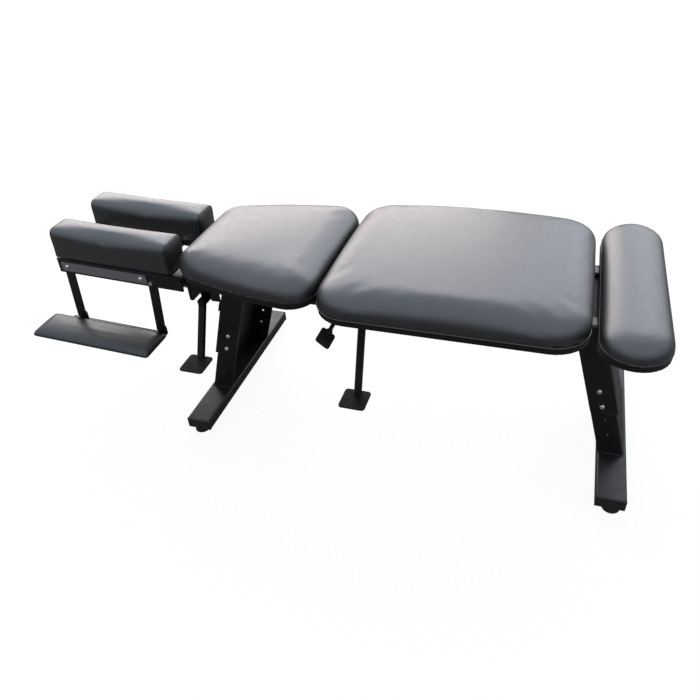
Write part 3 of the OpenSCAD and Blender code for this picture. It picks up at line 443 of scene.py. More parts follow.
# %% The tree that sets a thing on each point of a mesh
def scatter_tree():
    tree, start, end = new_tree("one_on_each_point", {"Thing": "Object", "Finish": "Material"})
    thing = node(tree, "GeometryNodeObjectInfo")
    place = node(tree, "GeometryNodeInstanceOnPoints")
    outward, along = (node(tree, "GeometryNodeInputNamedAttribute", {"Name": label}, data_type="FLOAT_VECTOR")
                      for label in ("outward", "along"))
    stand = node(tree, "FunctionNodeAlignRotationToVector", axis="Z")
    turn = node(tree, "FunctionNodeAlignRotationToVector", axis="X", pivot_axis="Z")
    real = node(tree, "GeometryNodeRealizeInstances")
    paint = node(tree, "GeometryNodeSetMaterial")
    wire(tree,
         (outward, "Attribute", stand, "Vector"),
         (stand, "Rotation", turn, "Rotation"),
         (along, "Attribute", turn, "Vector"),
         (start, "Geometry", place, "Points"),
         (start, "Thing", thing, "Object"),
         (thing, "Geometry", place, "Instance"),
         (turn, "Rotation", place, "Rotation"),
         (place, "Instances", real, "Geometry"),
         (real, "Geometry", paint, "Geometry"),
         (start, "Finish", paint, "Material"),
         (paint, "Geometry", end, "Geometry"))
    return tree


one_on_each = scatter_tree()


def scatter(name, spots, thing, material, body):
    """spots: (place, outward, along) for each copy of the thing."""
    piece = new_object(name, mesh_from(name, [s[0] for s in spots], []))
    for index, label in ((1, "outward"), (2, "along")):
        layer = piece.data.attributes.new(label, "FLOAT_VECTOR", "POINT")
        for item, spot in zip(layer.data, spots):
            item.vector = spot[index]
    bake_tree(piece, one_on_each, thing=thing, finish=material)
    shade_by_angle(piece.data, 40)
    return settle(piece, body, material)


print("tree:", one_on_each.name)

# %% [markdown]
# ## The outline of a cushion
# Chest, pelvic and foot sections share one rule: a rectangle with round
# corners, whose width may narrow to the head end. The same rule made the
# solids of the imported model, so the padded forms land where those stand.

# %% Write the outline rule
def width_share(x, half_length, head_share):
    u = (x + half_length) / (2 * half_length)
    return head_share + (1 - head_share) * (1 - (1 - u) ** 2)


def outline(half_length, half_width, corner, inset=0.0, head_share=1.0, arc=9, side=9, end_share=1.0):
    """Points round the rule's outline, moved in by inset (times end_share at both ends);
    arc and side: the steps in a corner and the points between two corners."""
    a, b = half_length - end_share * inset, half_width - inset
    r = max(corner - inset, 0.2 * corner)
    centres = [(a - r, b - r), (r - a, b - r), (r - a, r - b), (a - r, r - b)]
    points = []
    for k, (cx, cy) in enumerate(centres):
        turn = [math.radians(90 * (k + i / arc)) for i in range(arc + 1)]
        points += [(cx + r * math.cos(t), cy + r * math.sin(t)) for t in turn]
        x0, y0 = points[-1]
        nx, ny = centres[(k + 1) % 4]
        far = math.radians(90 * (k + 1))
        x1, y1 = nx + r * math.cos(far), ny + r * math.sin(far)
        gaps = side + 1
        points += [(x0 + (x1 - x0) * i / gaps, y0 + (y1 - y0) * i / gaps) for i in range(1, gaps)]
    return [(x, y * width_share(x, half_length, head_share)) for x, y in points]


def loft(rings, low, high):
    """Walls between rings of equal count, closed by a fan below and one above."""
    count, points, faces = len(rings[0]), [], []
    for ring in rings:
        points += ring
    for k in range(len(rings) - 1):
        for j in range(count):
            p, q = k * count + j, k * count + (j + 1) % count
            faces.append((p, q, q + count, p + count))
    top = (len(rings) - 1) * count
    points += [low, high]
    for j in range(count):
        q = (j + 1) % count
        faces.append((len(points) - 2, q, j))
        faces.append((len(points) - 1, top + j, top + q))
    return points, faces


print("outline points:", len(outline(0.3, 0.25, 0.09)))

# %% [markdown]
# ## How a padded form rises
# Foam under a stretched cover stands nearly upright at the board, rolls over
# a broad edge, and rises to a low crown. At the corners the cover pulls the
# foam down, so the top falls away there. Each padded form is that loft.

# %% Write the padded form
# corner: radius in plan; edge: how far the roll reaches in; crown: its height; drop: the fall at the corners;
# side_share: the upright part of the height; draw: how far its foot is drawn in
Shape = namedtuple("Shape", "corner edge crown drop side_share draw head_share end_share",
                   defaults=(0.001, 1.0, 1.0))
EDGE_STEPS = 8
EDGE_TURN = 84
CROWN_STEPS = 8


def padded_mesh(name, lo, hi, shape, inset):
    """The padded form in a box, from the board up; inset leaves room for the stuffing."""
    centre, (half_length, half_width, _) = (lo + hi) / 2, (hi - lo) / 2
    base, height = lo.z, hi.z - lo.z - inset
    side = shape.side_share * (height - shape.crown)
    rise = height - shape.crown - side

    def ring(move_in, z, fall):
        points = []
        # the foot of the form keeps its full size, so that no gap opens at the board
        small = inset * min(1, z / (0.5 * side))
        for x, y in outline(half_length - small, half_width - small, shape.corner - small, move_in,
                            shape.head_share, end_share=shape.end_share):
            share = (x / half_length) ** 2 * (y / half_width) ** 2
            points.append((centre.x + x, centre.y + y, base + z - fall * share))
        return points

    rings = [ring(shape.draw, 0, 0), ring(0.3 * shape.draw, 0.45 * side, 0), ring(0, side, 0)]
    for i in range(1, EDGE_STEPS + 1):
        turn = math.radians(EDGE_TURN * i / EDGE_STEPS)
        up = math.sin(turn) / math.sin(math.radians(EDGE_TURN))
        rings.append(ring(shape.edge * (1 - math.cos(turn)), side + rise * up, shape.drop * up))
    rim = rings[-1]
    long_half = max(p[0] for p in rim) - centre.x
    wide_half = max(p[1] for p in rim) - centre.y
    for i in range(1, CROWN_STEPS):
        s = 1 - i / CROWN_STEPS
        flat = []
        for x, y, z in rim:
            dx, dy = (x - centre.x) * s, (y - centre.y) * s
            hollow = (1 - (dx / long_half) ** 2) * (1 - (dy / wide_half) ** 2) * (1 - s ** 6)
            share = (dx / half_length) ** 2 * (dy / half_width) ** 2
            top = base + height - shape.crown * (1 - hollow) - shape.drop * share
            flat.append((centre.x + dx, centre.y + dy, top))
        rings.append(flat)
    return mesh_from(name, *loft(rings, (centre.x, centre.y, base), (centre.x, centre.y, base + height)))


def flat_box(node_name, turn=None):
    """A node's box in the frame that its own faces are square to."""
    back = turn.inverted() if turn else Matrix.Identity(4)
    points = [back @ v.co for v in frame["nodes"][node_name].data.vertices]
    return (Vector([min(p[i] for p in points) for i in range(3)]),
            Vector([max(p[i] for p in points) for i in range(3)]))


print("padded form ready")

# %% [markdown]
# ## Stuffing a cushion
# A cushion cover is cut flat and the foam fills it, so its skin is drawn
# evenly tight. A cloth simulation with a little pressure gives that: the loft
# starts a millimetre or so small, its underside is held on the board, and the
# pressure swells the rest. The move of each point is capped, so the cushion
# can't grow out of its place.

# %% Write the stuffing step
LAST_FRAME = 20
COVER = {
    "quality": 4, "mass": 0.4, "vertex_group_mass": "held",
    "use_pressure": True, "uniform_pressure_force": 3.0,
    "tension_stiffness": 30, "compression_stiffness": 30, "bending_stiffness": 12.0, "air_damping": 6.0,
}


def stuff(piece, held_below, voxel, cap):
    """Swells a padded form by cloth pressure; held_below is the height that stays on the board."""
    bpy.context.view_layer.objects.active = piece
    remesh = piece.modifiers.new("even_faces", "REMESH")
    remesh.mode = "VOXEL"
    remesh.voxel_size = voxel
    plain_mesh(piece)
    start = [v.co.copy() for v in piece.data.vertices]
    held = piece.vertex_groups.new(name="held")
    held.add([i for i, p in enumerate(start) if p.z < held_below], 1.0, "REPLACE")
    cloth = piece.modifiers.new("cover", "CLOTH")
    for name, value in COVER.items():
        setattr(cloth.settings, name, value)
    cloth.settings.effector_weights.gravity = 0
    cloth.collision_settings.use_collision = False
    cloth.point_cache.frame_start, cloth.point_cache.frame_end = 1, LAST_FRAME
    for number in range(1, LAST_FRAME + 1):
        scene.frame_set(number)
    graph = bpy.context.evaluated_depsgraph_get()
    swollen = [v.co.copy() for v in piece.evaluated_get(graph).data.vertices]
    piece.modifiers.clear()
    piece.vertex_groups.clear()
    scene.frame_set(1)
    for vertex, a, b in zip(piece.data.vertices, start, swollen):
        step = b - a
        length = step.length
        # the cap bends in softly, so that no crease forms where it starts
        if length > 0:
            step *= cap * math.tanh(length / cap) / length
        vertex.co = a + step


print("a cover swells over", LAST_FRAME, "frames")

# %% [markdown]
# ## From the form to the finished pad
# The voxel steps are smoothed away and the faces are divided once, which gives
# the soft sheen of stretched vinyl. Then the pad is fitted to the box of its
# solid, with a little more height where its crown stands proud of it.

# %% Write the step that makes a pad
def divided(piece):
    """Divides the faces of a pad once and shades it smooth."""
    divide = piece.modifiers.new("divide", "SUBSURF")
    divide.levels = divide.render_levels = 1
    plain_mesh(piece)
    shade_smooth(piece.data)


def soften(piece, base, rounds, reach=0.012, least=0.12):
    """Sets a smoothing that evens out the voxel steps, less so within reach of the board."""
    free = piece.vertex_groups.new(name="free")
    for vertex in piece.data.vertices:
        free.add([vertex.index], min(1.0, max(least, (vertex.co.z - base) / reach)), "REPLACE")
    smooth = piece.modifiers.new("soften", "SMOOTH")
    smooth.iterations, smooth.factor, smooth.vertex_group = rounds, 0.5, "free"


def fit_to_box(piece, lo, hi):
    """Scales a pad along the three axes, so that it fills a box."""
    for i in range(3):
        low, high = (pick(v.co[i] for v in piece.data.vertices) for pick in (min, max))
        for vertex in piece.data.vertices:
            vertex.co[i] = lo[i] + (vertex.co[i] - low) * (hi[i] - lo[i]) / (high - low)


def make_pad(name, node_name, shape, voxel, cap, rounds, turn=None, wrap=0.0, swell=0.0, trim=(0.0, 0.0),
             cover=vinyl):
    """wrap: how far the cover reaches down over the board; swell: how far the crown stands over the
    solid; trim: how far its head and foot ends stand back. A tilted pad is made flat, then turned."""
    lo, hi = flat_box(node_name, turn)
    lo.x, hi.x, lo.z, hi.z = lo.x + trim[0], hi.x - trim[1], lo.z - wrap, hi.z + swell
    piece = new_object(name, padded_mesh(name, lo, hi, shape, 0.4 * cap))
    stuff(piece, lo.z + 0.004, voxel, cap)
    soften(piece, lo.z, rounds)
    divided(piece)
    fit_to_box(piece, lo, hi)
    if turn:
        piece.data.transform(turn)
    piece.vertex_groups.clear()
    settle(piece, body_of_node[node_name], cover, [node_name])
    print(name, len(piece.data.polygons), "faces")
    return piece


print("pad step ready")

# %% [markdown]
# ## The three sections
# The chest section narrows to the head end, so that the arms can hang past
# it. The pelvic section is the large one, with corners that fall away most.
# The foot section is short, wide and a little thinner.

# %% Make the three section cushions
SECTION_SHAPES = {
    "chest": Shape(corner=0.076, edge=0.068, crown=0.010, drop=0.003, side_share=0.10, head_share=0.65),
    "pelvic": Shape(corner=0.092, edge=0.054, crown=0.006, drop=0.024, side_share=0.22),
    "foot": Shape(corner=0.080, edge=0.066, crown=0.002, drop=0.003, side_share=0.18),
}
SWELL = {"chest": 0.010, "pelvic": 0.004, "foot": 0.003}
TRIM = {"chest": (0.0, 0.0), "pelvic": (0.0, 0.003), "foot": (0.0035, 0.002)}
for section, shape in SECTION_SHAPES.items():
    make_pad(section + "_section_pad", section + "_cushion", shape, voxel=0.006, cap=0.003, rounds=26,
             swell=SWELL[section], trim=TRIM[section])

# %% [markdown]
# ## The headpiece's own frame
# The headpiece is tilted by a few degrees about its pivot. Its pieces are
# worked out flat and then turned by the same matrix, which is read from the
# packed joint and the lean of a side rail's upper edge.

# %% Find the tilt of the headpiece
def head_turn():
    joint = [j for j in frame["joints"] if j["name"] == "head_tilt"][0]
    pivot = Vector(joint["pos_m"])
    rail = [v.co for v in frame["nodes"]["head_side_rails"].data.vertices]
    few = max(4, len(rail) // 12)
    a = max(sorted(rail, key=lambda p: p.x)[:few], key=lambda p: p.z)
    b = max(sorted(rail, key=lambda p: -p.x)[:few], key=lambda p: p.z)
    angle = math.atan2(a.z - b.z, b.x - a.x)
    turn = Euler((0, angle, 0)).to_matrix().to_4x4()
    return Matrix.Translation(pivot) @ turn @ Matrix.Translation(-pivot), angle


head, head_angle = head_turn()
print("headpiece tilt:", round(math.degrees(head_angle), 2), "degrees")

# %% [markdown]
# ## Face cushions and armrest pads
# A face cushion is a tall box of foam: its cover runs over the long sides in
# one piece, flat panels close its two ends, and all of it reaches down over
# the edge of its board. An armrest pad is a low, full pillow on a thin plate.

# %% Make the face cushions and the armrest pads
FACE_SHAPE = Shape(corner=0.009, edge=0.021, crown=0.004, drop=0.0, side_share=0.74, end_share=0.3)
ARM_SHAPE = Shape(corner=0.013, edge=0.054, crown=0.002, drop=0.003, side_share=0.34, end_share=0.6)
FACE_WRAP = 0.0115
face_pads = {}
for side in ("left", "right"):
    face_pads[side] = make_pad(side + "_face_pad", side + "_face_cushion", FACE_SHAPE, voxel=0.005, cap=0.004,
                               rounds=4, turn=head, wrap=FACE_WRAP, swell=0.004)
    # the armrest pads wear the darker vinyl copy, which is painted shade
    make_pad(side + "_arm_pad", side + "_armrest_pad", ARM_SHAPE, voxel=0.005, cap=0.004, rounds=6, turn=head,
             cover=arm_vinyl_shaded)

# %% [markdown]
# ## Welts
# Where a cover meets the wrapped edge of its board, a thin welt is sewn in.
# It is a cord in a strip of vinyl, so a small circle swept along the outline
# gives it. The path is closed, and its corners follow the same rule.

# %% Sweep the welts under the section cushions
def section_loop(section, part, inset, arc, side, below=0.0, trim=(0.0, 0.0)):
    """The section's outline on the underside of its cushion or board."""
    lo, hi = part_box(section + part)
    lo.x, hi.x = lo.x + trim[0], hi.x - trim[1]
    centre, half = (lo + hi) / 2, (hi - lo) / 2
    shape = SECTION_SHAPES[section]
    return [Vector((centre.x + x, centre.y + y, lo.z - below))
            for x, y in outline(half.x, half.y, shape.corner, inset, shape.head_share, arc, side)]


for section in SECTION_SHAPES:
    loop = section_loop(section, "_cushion", inset=0.0006, arc=14, side=14, trim=TRIM[section])
    piece = path_object(section + "_welt", [loop])
    bake_tree(piece, sweep_cord, radius=0.0018, sides=10, finish=vinyl)
    settle(piece, body_of_node[section + "_cushion"], vinyl)
print("welts:", len(SECTION_SHAPES))

# %% [markdown]
# ## Seams at the ends of the face cushions
# The end panel of each face cushion is joined by a plain sewn seam that runs
# up one corner, over the end and down the other. A ray from outside finds the
# skin of the pad at each step, so that the seam lies on it. A fine ridge and
# a row of stitches are laid on that path.

# %% Find the seam paths on the pads
SEAM_FROM_END = 0.0062
SEAM_RAYS = 60
BELOW_LEVEL = 38


def seam_path(pad, node_name, end, turn):
    """Points round a pad in a plane near one end: up one side, over the top, down the other."""
    lo, hi = flat_box(node_name, turn)
    skin = BVHTree.FromPolygons([turn.inverted() @ v.co for v in pad.data.vertices],
                                [p.vertices[:] for p in pad.data.polygons])
    x = lo.x + SEAM_FROM_END if end < 0 else hi.x - SEAM_FROM_END
    middle = Vector((x, (lo.y + hi.y) / 2, lo.z + 0.35 * (hi.z - lo.z)))
    path, outs = [], []
    for i in range(SEAM_RAYS + 1):
        t = math.radians((180 + 2 * BELOW_LEVEL) * i / SEAM_RAYS - BELOW_LEVEL)
        ray = Vector((0, math.cos(t), math.sin(t)))
        hit = skin.ray_cast(middle + ray * 0.3, -ray)
        if hit[0] is not None and hit[0].z > lo.z - FACE_WRAP + 0.003:
            path.append(turn @ hit[0])
            outs.append((turn.to_3x3() @ hit[1]).normalized())
    return path, outs


def small_block(name, size):
    """A block with eased edges, for stitches, staples and slide pads."""
    bm = bmesh.new()
    bmesh.ops.create_cube(bm, size=1.0)
    bmesh.ops.scale(bm, vec=Vector(size), verts=bm.verts)
    bmesh.ops.bevel(bm, geom=list(bm.edges), offset=min(size) * 0.3, segments=1, affect="EDGES")
    return mesh_of(name, bm)


tools = []


def only_for_trees(mesh):
    """An object that a tree copies; it is removed when all trees are baked."""
    made = new_object(mesh.name, mesh)
    made.hide_render = True
    tools.append(made)
    return made


stitch = only_for_trees(small_block("stitch", (0.0032, 0.0009, 0.0009)))
print("stitch:", stitch.name)

# %% [markdown]
# ## Laying the stitches
# The thread shows as a row of short bars beside the seam. They are spread
# evenly between the points of the seam's path, and each one lies along it.

# %% Lay the seams and their stitches
STITCH_PITCH = 0.0052
FROM_SEAM = 0.0032
PROUD = 0.0003
for side in ("left", "right"):
    paths, spots = [], []
    for end in (-1, 1):
        path, outs = seam_path(face_pads[side], side + "_face_cushion", end, head)
        paths.append(path)
        away = head.to_3x3() @ Vector((end, 0, 0))
        for a, b, out in zip(path, path[1:], outs):
            steps = max(1, round((b - a).length / STITCH_PITCH))
            for i in range(steps):
                place = a.lerp(b, i / steps) - away * FROM_SEAM + out * PROUD
                spots.append((place, out, (b - a).normalized()))
    ridge = path_object(side + "_face_seams", paths, closed=False)
    bake_tree(ridge, sweep_cord, radius=0.0011, sides=8, finish=wrap_vinyl_shaded)
    settle(ridge, side + "_face", wrap_vinyl_shaded)
    scatter(side + "_face_stitches", spots, stitch, thread, side + "_face")
    print(side, "face cushion:", len(spots), "stitches")

# %% [markdown]
# ## Rolled tubes
# Cold-formed tube has round outer corners. The rails, the cross tubes and the
# foot bars are drawn again with that radius, as an outer and an inner skin
# joined at the ends, inside the boxes of their solids.

# %% Draw the rounded tubes
def tube_shell(lo, hi, axis, radius, wall):
    """Points and faces of a hollow tube with round corners, along X (0) or Y (1)."""
    across = 1 - axis
    centre, half = (lo + hi) / 2, (hi - lo) / 2
    rings = []
    for end in (lo[axis], hi[axis]):
        for move_in in (0.0, wall):
            ring = []
            for u, v in outline(half[across], half.z, radius, move_in, 1.0, 5, 0):
                point = [0, 0, centre.z + v]
                point[axis], point[across] = end, centre[across] + u
                ring.append(tuple(point))
            rings.append(ring)
    near_out, near_in, far_out, far_in = rings
    count = len(near_out)
    points = near_out + near_in + far_out + far_in
    faces = []
    for j in range(count):
        k = (j + 1) % count
        faces += [(j, k, 2 * count + k, 2 * count + j), (count + k, count + j, 3 * count + j, 3 * count + k),
                  (k, j, count + j, count + k), (2 * count + j, 2 * count + k, 3 * count + k, 3 * count + j)]
    return points, faces


def tube_piece(name, boxes, axis, radius, wall, nodes):
    piece = new_object(name, joined(name, [tube_shell(lo, hi, axis, radius, wall) for lo, hi in boxes]))
    bm = bmesh.new()
    bm.from_mesh(piece.data)
    bmesh.ops.recalc_face_normals(bm, faces=bm.faces)
    bm.to_mesh(piece.data)
    bm.free()
    shade_by_angle(piece.data, 30)
    weigh = piece.modifiers.new("flat_faces_flat", "WEIGHTED_NORMAL")
    weigh.keep_sharp = True
    plain_mesh(piece)
    return settle(piece, "table_frame", black_coat, nodes)


def solid_boxes(node_name):
    """The box of each separate solid of a node."""
    bm = bmesh.new()
    bm.from_mesh(frame["nodes"][node_name].data)
    bmesh.ops.remove_doubles(bm, verts=bm.verts, dist=1e-6)
    left, boxes = set(bm.verts), []
    while left:
        stack, group = [next(iter(left))], set()
        while stack:
            vertex = stack.pop()
            if vertex in group:
                continue
            group.add(vertex)
            stack += [e.other_vert(vertex) for e in vertex.link_edges]
        left -= group
        boxes.append((Vector([min(v.co[i] for v in group) for i in range(3)]),
                      Vector([max(v.co[i] for v in group) for i in range(3)])))
    bm.free()
    return sorted(boxes, key=lambda b: tuple(round(c, 4) for c in b[0]))


for end in ("front", "rear"):
    tube_piece(end + "_foot_tube", [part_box(end + "_foot_bar")], axis=1, radius=0.005, wall=0.003,
               nodes=[end + "_foot_bar"])
for side in ("left", "right"):
    tube_piece(side + "_rail_tube", [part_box(side + "_rail")], axis=0, radius=0.004, wall=0.003,
               nodes=[side + "_rail"])
tube_piece("cross_tube_set", solid_boxes("cross_tubes"), axis=1, radius=0.004, wall=0.003,
           nodes=["cross_tubes"])
print("rounded tubes: 5 pieces")

# %% [markdown]
# ## Slide pads on the rails
# Two pale patches show in the gap before the foot section. They are read as
# thin nylon pads on the rail tops, each a block with eased edges.

# %% Lay the slide pads
def rail_pads(length=0.034, side_gap=0.006, thick=0.0012, back=0.004):
    """One thin pad on each rail, where the board of the foot section begins."""
    parts = []
    for side in ("left", "right"):
        lo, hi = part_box(side + "_rail")
        block = small_block("rail_pad", (length, hi.y - lo.y - side_gap, thick))
        centre = Vector((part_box("foot_board")[0].x - back, (lo.y + hi.y) / 2, hi.z + thick / 2))
        parts.append(([v.co + centre for v in block.vertices], [tuple(p.vertices) for p in block.polygons]))
        bpy.data.meshes.remove(block)
    return settle(new_object("rail_pads", joined("rail_pads", parts)), "table_frame", nylon)


print("slide pads:", rail_pads().name)

# %% [markdown]
# ## Eased edges on plate parts
# Laser-cut plate is tumbled before it is coated, so no edge is razor sharp and
# each one catches a thin line of light. A copy of the solid is merged, its
# flat faces are joined, and a small bevel goes on every hard edge.

# %% Write the easing step
BEND_OFFSET = 0.0045
BEND_SEGMENTS = 5


def eased(node_name, material, width=0.0009, segments=2, bend=None):
    """A copy of a CAD solid with eased edges; bend(edge, vertices) picks edges that are bent wide."""
    solid = frame["nodes"][node_name].data
    bm = bmesh.new()
    bm.from_mesh(solid)
    bmesh.ops.remove_doubles(bm, verts=bm.verts, dist=1e-6)
    bmesh.ops.dissolve_limit(bm, angle_limit=math.radians(1), verts=list(bm.verts), edges=list(bm.edges))
    if bend:
        wide = [e for e in bm.edges if e.is_manifold and bend(e, solid.vertices)]
        bmesh.ops.bevel(bm, geom=wide, offset=BEND_OFFSET, segments=BEND_SEGMENTS, profile=0.5,
                        affect="EDGES")
    mesh = mesh_of(node_name + "_eased", bm)
    shade_by_angle(mesh, 30)
    piece = new_object(mesh.name, mesh)
    ease = piece.modifiers.new("ease", "BEVEL")
    ease.limit_method, ease.angle_limit = "ANGLE", math.radians(40)
    ease.width, ease.segments, ease.harden_normals = width, segments, True
    plain_mesh(piece)
    return settle(piece, body_of_node[node_name], material, [node_name])


print("easing step ready")

# %% [markdown]
# ## Legs folded from sheet
# A leg is a channel folded from sheet, so the long corner between its web and
# its flange has a wide bend. The bend is found on the solid: a long, steep
# edge at the outer side of the leg, where the web's outer face ends.

# %% Ease the legs
LEAN = math.tan(math.radians(16.5))
SHORTEST_BEND, HIGHEST_BEND = 0.06, 0.42
LEAST_RISE, LEAST_FOLD = 0.9, 1.4
FROM_SIDE, FROM_WEB = 0.0006, 0.012


def is_leg_bend(edge, vertices):
    """True for a long, steep and sharp edge at the leg's side and near the outer face of its web."""
    a, b = (v.co for v in edge.verts)
    line = b - a
    if line.length < SHORTEST_BEND or abs(line.normalized().z) < LEAST_RISE or max(a.z, b.z) >= HIGHEST_BEND:
        return False
    if edge.calc_face_angle(0) <= LEAST_FOLD:
        return False
    if min(abs(a.y), abs(b.y)) < max(abs(v.co.y) for v in vertices) - FROM_SIDE:
        return False
    outward = -1 if a.x < 0 else 1
    web_face = max(outward * v.co.x + v.co.z * LEAN for v in vertices)
    return web_face - (outward * a.x + a.z * LEAN) < FROM_WEB


LEGS = [end + half + "leg" for half in ("_lower_", "_upper_") for end in ("front", "rear")]
for node_name in LEGS:
    eased(node_name, black_coat, width=0.0008, bend=is_leg_bend)
print("legs eased:", len(LEGS))

# %% [markdown]
# ## The other plates and bars
# Thin plate gets a fine edge, and the forged-looking pedal parts a broader
# one with a duller coat. Plastic and wrapped boards are rounder still.

# %% Ease the other plates and bars
FINE_EDGED = ["web_doublers", "front_end_plate", "pedal_brackets", "plunger_guide", "tension_bearing_block",
              "chest_lift_bar", "pelvic_lift_bar", "head_side_plates", "head_cross_plates"]
FINE_EDGED += [side + part for side in ("left", "right")
               for part in ("_outer_link", "_inner_link", "_armrest_bracket", "_face_carrier")]
BROAD_EDGED = ["chest_pedal_lever", "pelvic_pedal_lever", "chest_foot_plate", "pelvic_foot_plate",
               "tilt_clamp_lever"]
for names, material, width in ((FINE_EDGED, black_coat, 0.0008), (BROAD_EDGED, matt_coat, 0.0012)):
    for node_name in names:
        eased(node_name, material, width)
eased("tension_paddle", plastic, 0.0020, 3)
eased("head_side_rails", drawn_steel, 0.0006)
eased("friction_plate", drawn_steel, 0.0005)
eased("plastic_end_caps", plastic, 0.0022, 3)
# The boards wear the darkest vinyl copy, which is painted shade for the band under the cushions.
for section in SECTION_SHAPES:
    eased(section + "_board", wrap_vinyl_shaded, 0.0020, 3)

# %% [markdown]
# ## Nodes that keep their shape
# Pins, shafts, rods, rollers and feet are round already, so they only get
# their finish.

# %% Dress the round parts
dress(zinc, "leg_bolts", "pedal_pivot_pins", "foot_board_spacers", "tension_cam", "tension_plunger",
      "side_rail_screws", "link_pivot_bolts")
dress(black_oxide, "drop_hinge_shafts", "tilt_pivot_bolts")
dress(chrome, "tension_shaft", "head_guide_rods")
dress(rubber, "rubber_feet", "landing_buffers")
dress(nylon, "chest_roller", "pelvic_roller")
print("dressed: 15 nodes")

# %% [markdown]
# ## Button heads
# The leg bolts and the side rail screws have domed heads with a hexagon
# socket. A profile is turned about Z for the dome, and the socket is a
# six-sided pocket at its middle. One head is built, and the tree sets a copy
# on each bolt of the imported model.

# %% Make a button head and set it on the bolts
def button_head(name, radius, height):
    """A dome from z = 0 up, with a hexagon socket."""
    around, dome_steps, corner = 24, 5, math.radians(60)
    socket, floor_z = 0.36 * radius, height - 0.6 * height

    def ring(z, reach):
        turns = [2 * math.pi * j / around for j in range(around)]
        return [(reach(t) * math.cos(t), reach(t) * math.sin(t), z) for t in turns]

    def hexagon(t):
        return socket * math.cos(corner / 2) / math.cos((t % corner) - corner / 2)

    rings = []
    for i in range(dome_steps + 1):
        rise = math.radians(90 * i / dome_steps)
        wide = socket * 1.25 + (radius - socket * 1.25) * math.cos(rise)
        rings.append(ring(height * math.sin(rise), lambda t: wide))
    rings += [ring(height, hexagon), ring(floor_z, hexagon)]
    points, faces = loft(rings, (0, 0, 0), (0, 0, floor_z))
    return only_for_trees(mesh_from(name, points, faces))


ALONG_X = Vector((1, 0, 0))


def side_spot(x, y, z, side, along=ALONG_X):
    """A spot that faces out of one side of the table."""
    return Vector((x, y, z)), Vector((0, side, 0)), along


def bolt_spots(node_name, sunk, along):
    """A spot on the outer end of each bolt of a node, sunk a little into it."""
    spots = []
    for lo, hi in solid_boxes(node_name):
        middle = (lo + hi) / 2
        side = 1 if middle.y > 0 else -1
        outer = max(abs(lo.y), abs(hi.y)) - sunk
        spots.append(side_spot(middle.x, side * outer, middle.z, side, along))
    return spots


spots = bolt_spots("leg_bolts", 0.005, ALONG_X)
leg_head = button_head("leg_bolt_head", radius=0.0069, height=0.0046)
scatter("leg_bolt_heads", spots, leg_head, zinc, "table_frame")
print("leg bolt heads:", len(spots))

# %% [markdown]
# ## Plugs in the spare holes
# The top holes of the upper legs hold no bolt. Flat black plugs close them.
# Their place is read from the rim of each hole, near a level under the rails.

# %% Plug the spare holes at the top of the legs
def plug_spots(below_rail=0.0185, near=0.006, sunk=0.0016):
    spots = []
    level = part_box("left_rail")[0].z - below_rail
    for end in ("front", "rear"):
        vertices = frame["nodes"][end + "_upper_leg"].data.vertices
        rim = [v.co.x for v in vertices if abs(v.co.z - level) < near]
        middle, reach = (min(rim) + max(rim)) / 2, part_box(end + "_upper_leg")[1].y - sunk
        spots += [side_spot(middle, side * reach, level, side) for side in (-1, 1)]
    return spots


hole_plug = button_head("hole_plug", radius=0.0040, height=0.0010)
scatter("hole_plugs", plug_spots(), hole_plug, plastic, "table_frame")
print("hole plugs at x:", sorted({round(spot[0].x, 4) for spot in plug_spots()}))

# %% [markdown]
# ## Screws of the headpiece
# The side rails hang on bright screws, whose sockets turn with the tilt of
# the headpiece. The guide rods end in wide, flat screws with a black coat.

# %% Set heads on the side rails and on the ends of the guide rods
spots = bolt_spots("side_rail_screws", 0.004, head.to_3x3() @ ALONG_X)
rail_head = button_head("rail_screw_head", radius=0.0064, height=0.0042)
scatter("side_rail_heads", spots, rail_head, zinc, "head_frame")
print("side rail heads:", len(spots))

ROD_HEAD_SUNK = 0.0004
spots = []
for lo, hi in solid_boxes("head_guide_rods"):
    middle = (lo + hi) / 2
    for side, y in ((-1, lo.y), (1, hi.y)):
        spots.append(side_spot(middle.x, y - side * ROD_HEAD_SUNK, middle.z, side))
rod_head = button_head("rod_screw_head", radius=0.0080, height=0.0026)
scatter("rod_end_heads", spots, rod_head, black_coat, "head_frame")
print("rod end heads:", len(spots))

# %% [markdown]
# ## Staples under the boards
# The cover is pulled round the board and stapled to its underside, a row of
# staples a finger's width in from the edge. They only show from below.

# %% Drive the staples
staple = only_for_trees(small_block("staple", (0.0095, 0.0011, 0.0008)))


def staple_row(section, pitch=0.024):
    loop = section_loop(section, "_board", inset=0.018, arc=12, side=24, below=0.0002)
    spots, travelled = [], 0.0
    for a, b in zip(loop, loop[1:] + loop[:1]):
        travelled += (b - a).length
        while travelled > pitch:
            travelled -= pitch
            spots.append((a.lerp(b, 0.5), Vector((0, 0, -1)), (b - a).normalized()))
    scatter(section + "_staples", spots, staple, zinc, body_of_node[section + "_board"])
    return len(spots)


print("staples:", sum(staple_row(section) for section in SECTION_SHAPES))

# %% [markdown]
# ## Weld beads
# Each lower leg is welded to its foot bar. A bead is a chain of overlapping
# puddles, so flattened balls are set closely along the foot of the leg. Two
# slow waves lift and lower them, so that the chain doesn't look machined.

# %% Lay the weld beads at the feet of the legs
PUDDLE = 0.0026


def puddle():
    bm = bmesh.new()
    bmesh.ops.create_icosphere(bm, subdivisions=2, radius=PUDDLE)
    bmesh.ops.scale(bm, vec=Vector((1.0, 1.15, 0.8)), verts=bm.verts)
    return only_for_trees(mesh_of("weld_puddle", bm))


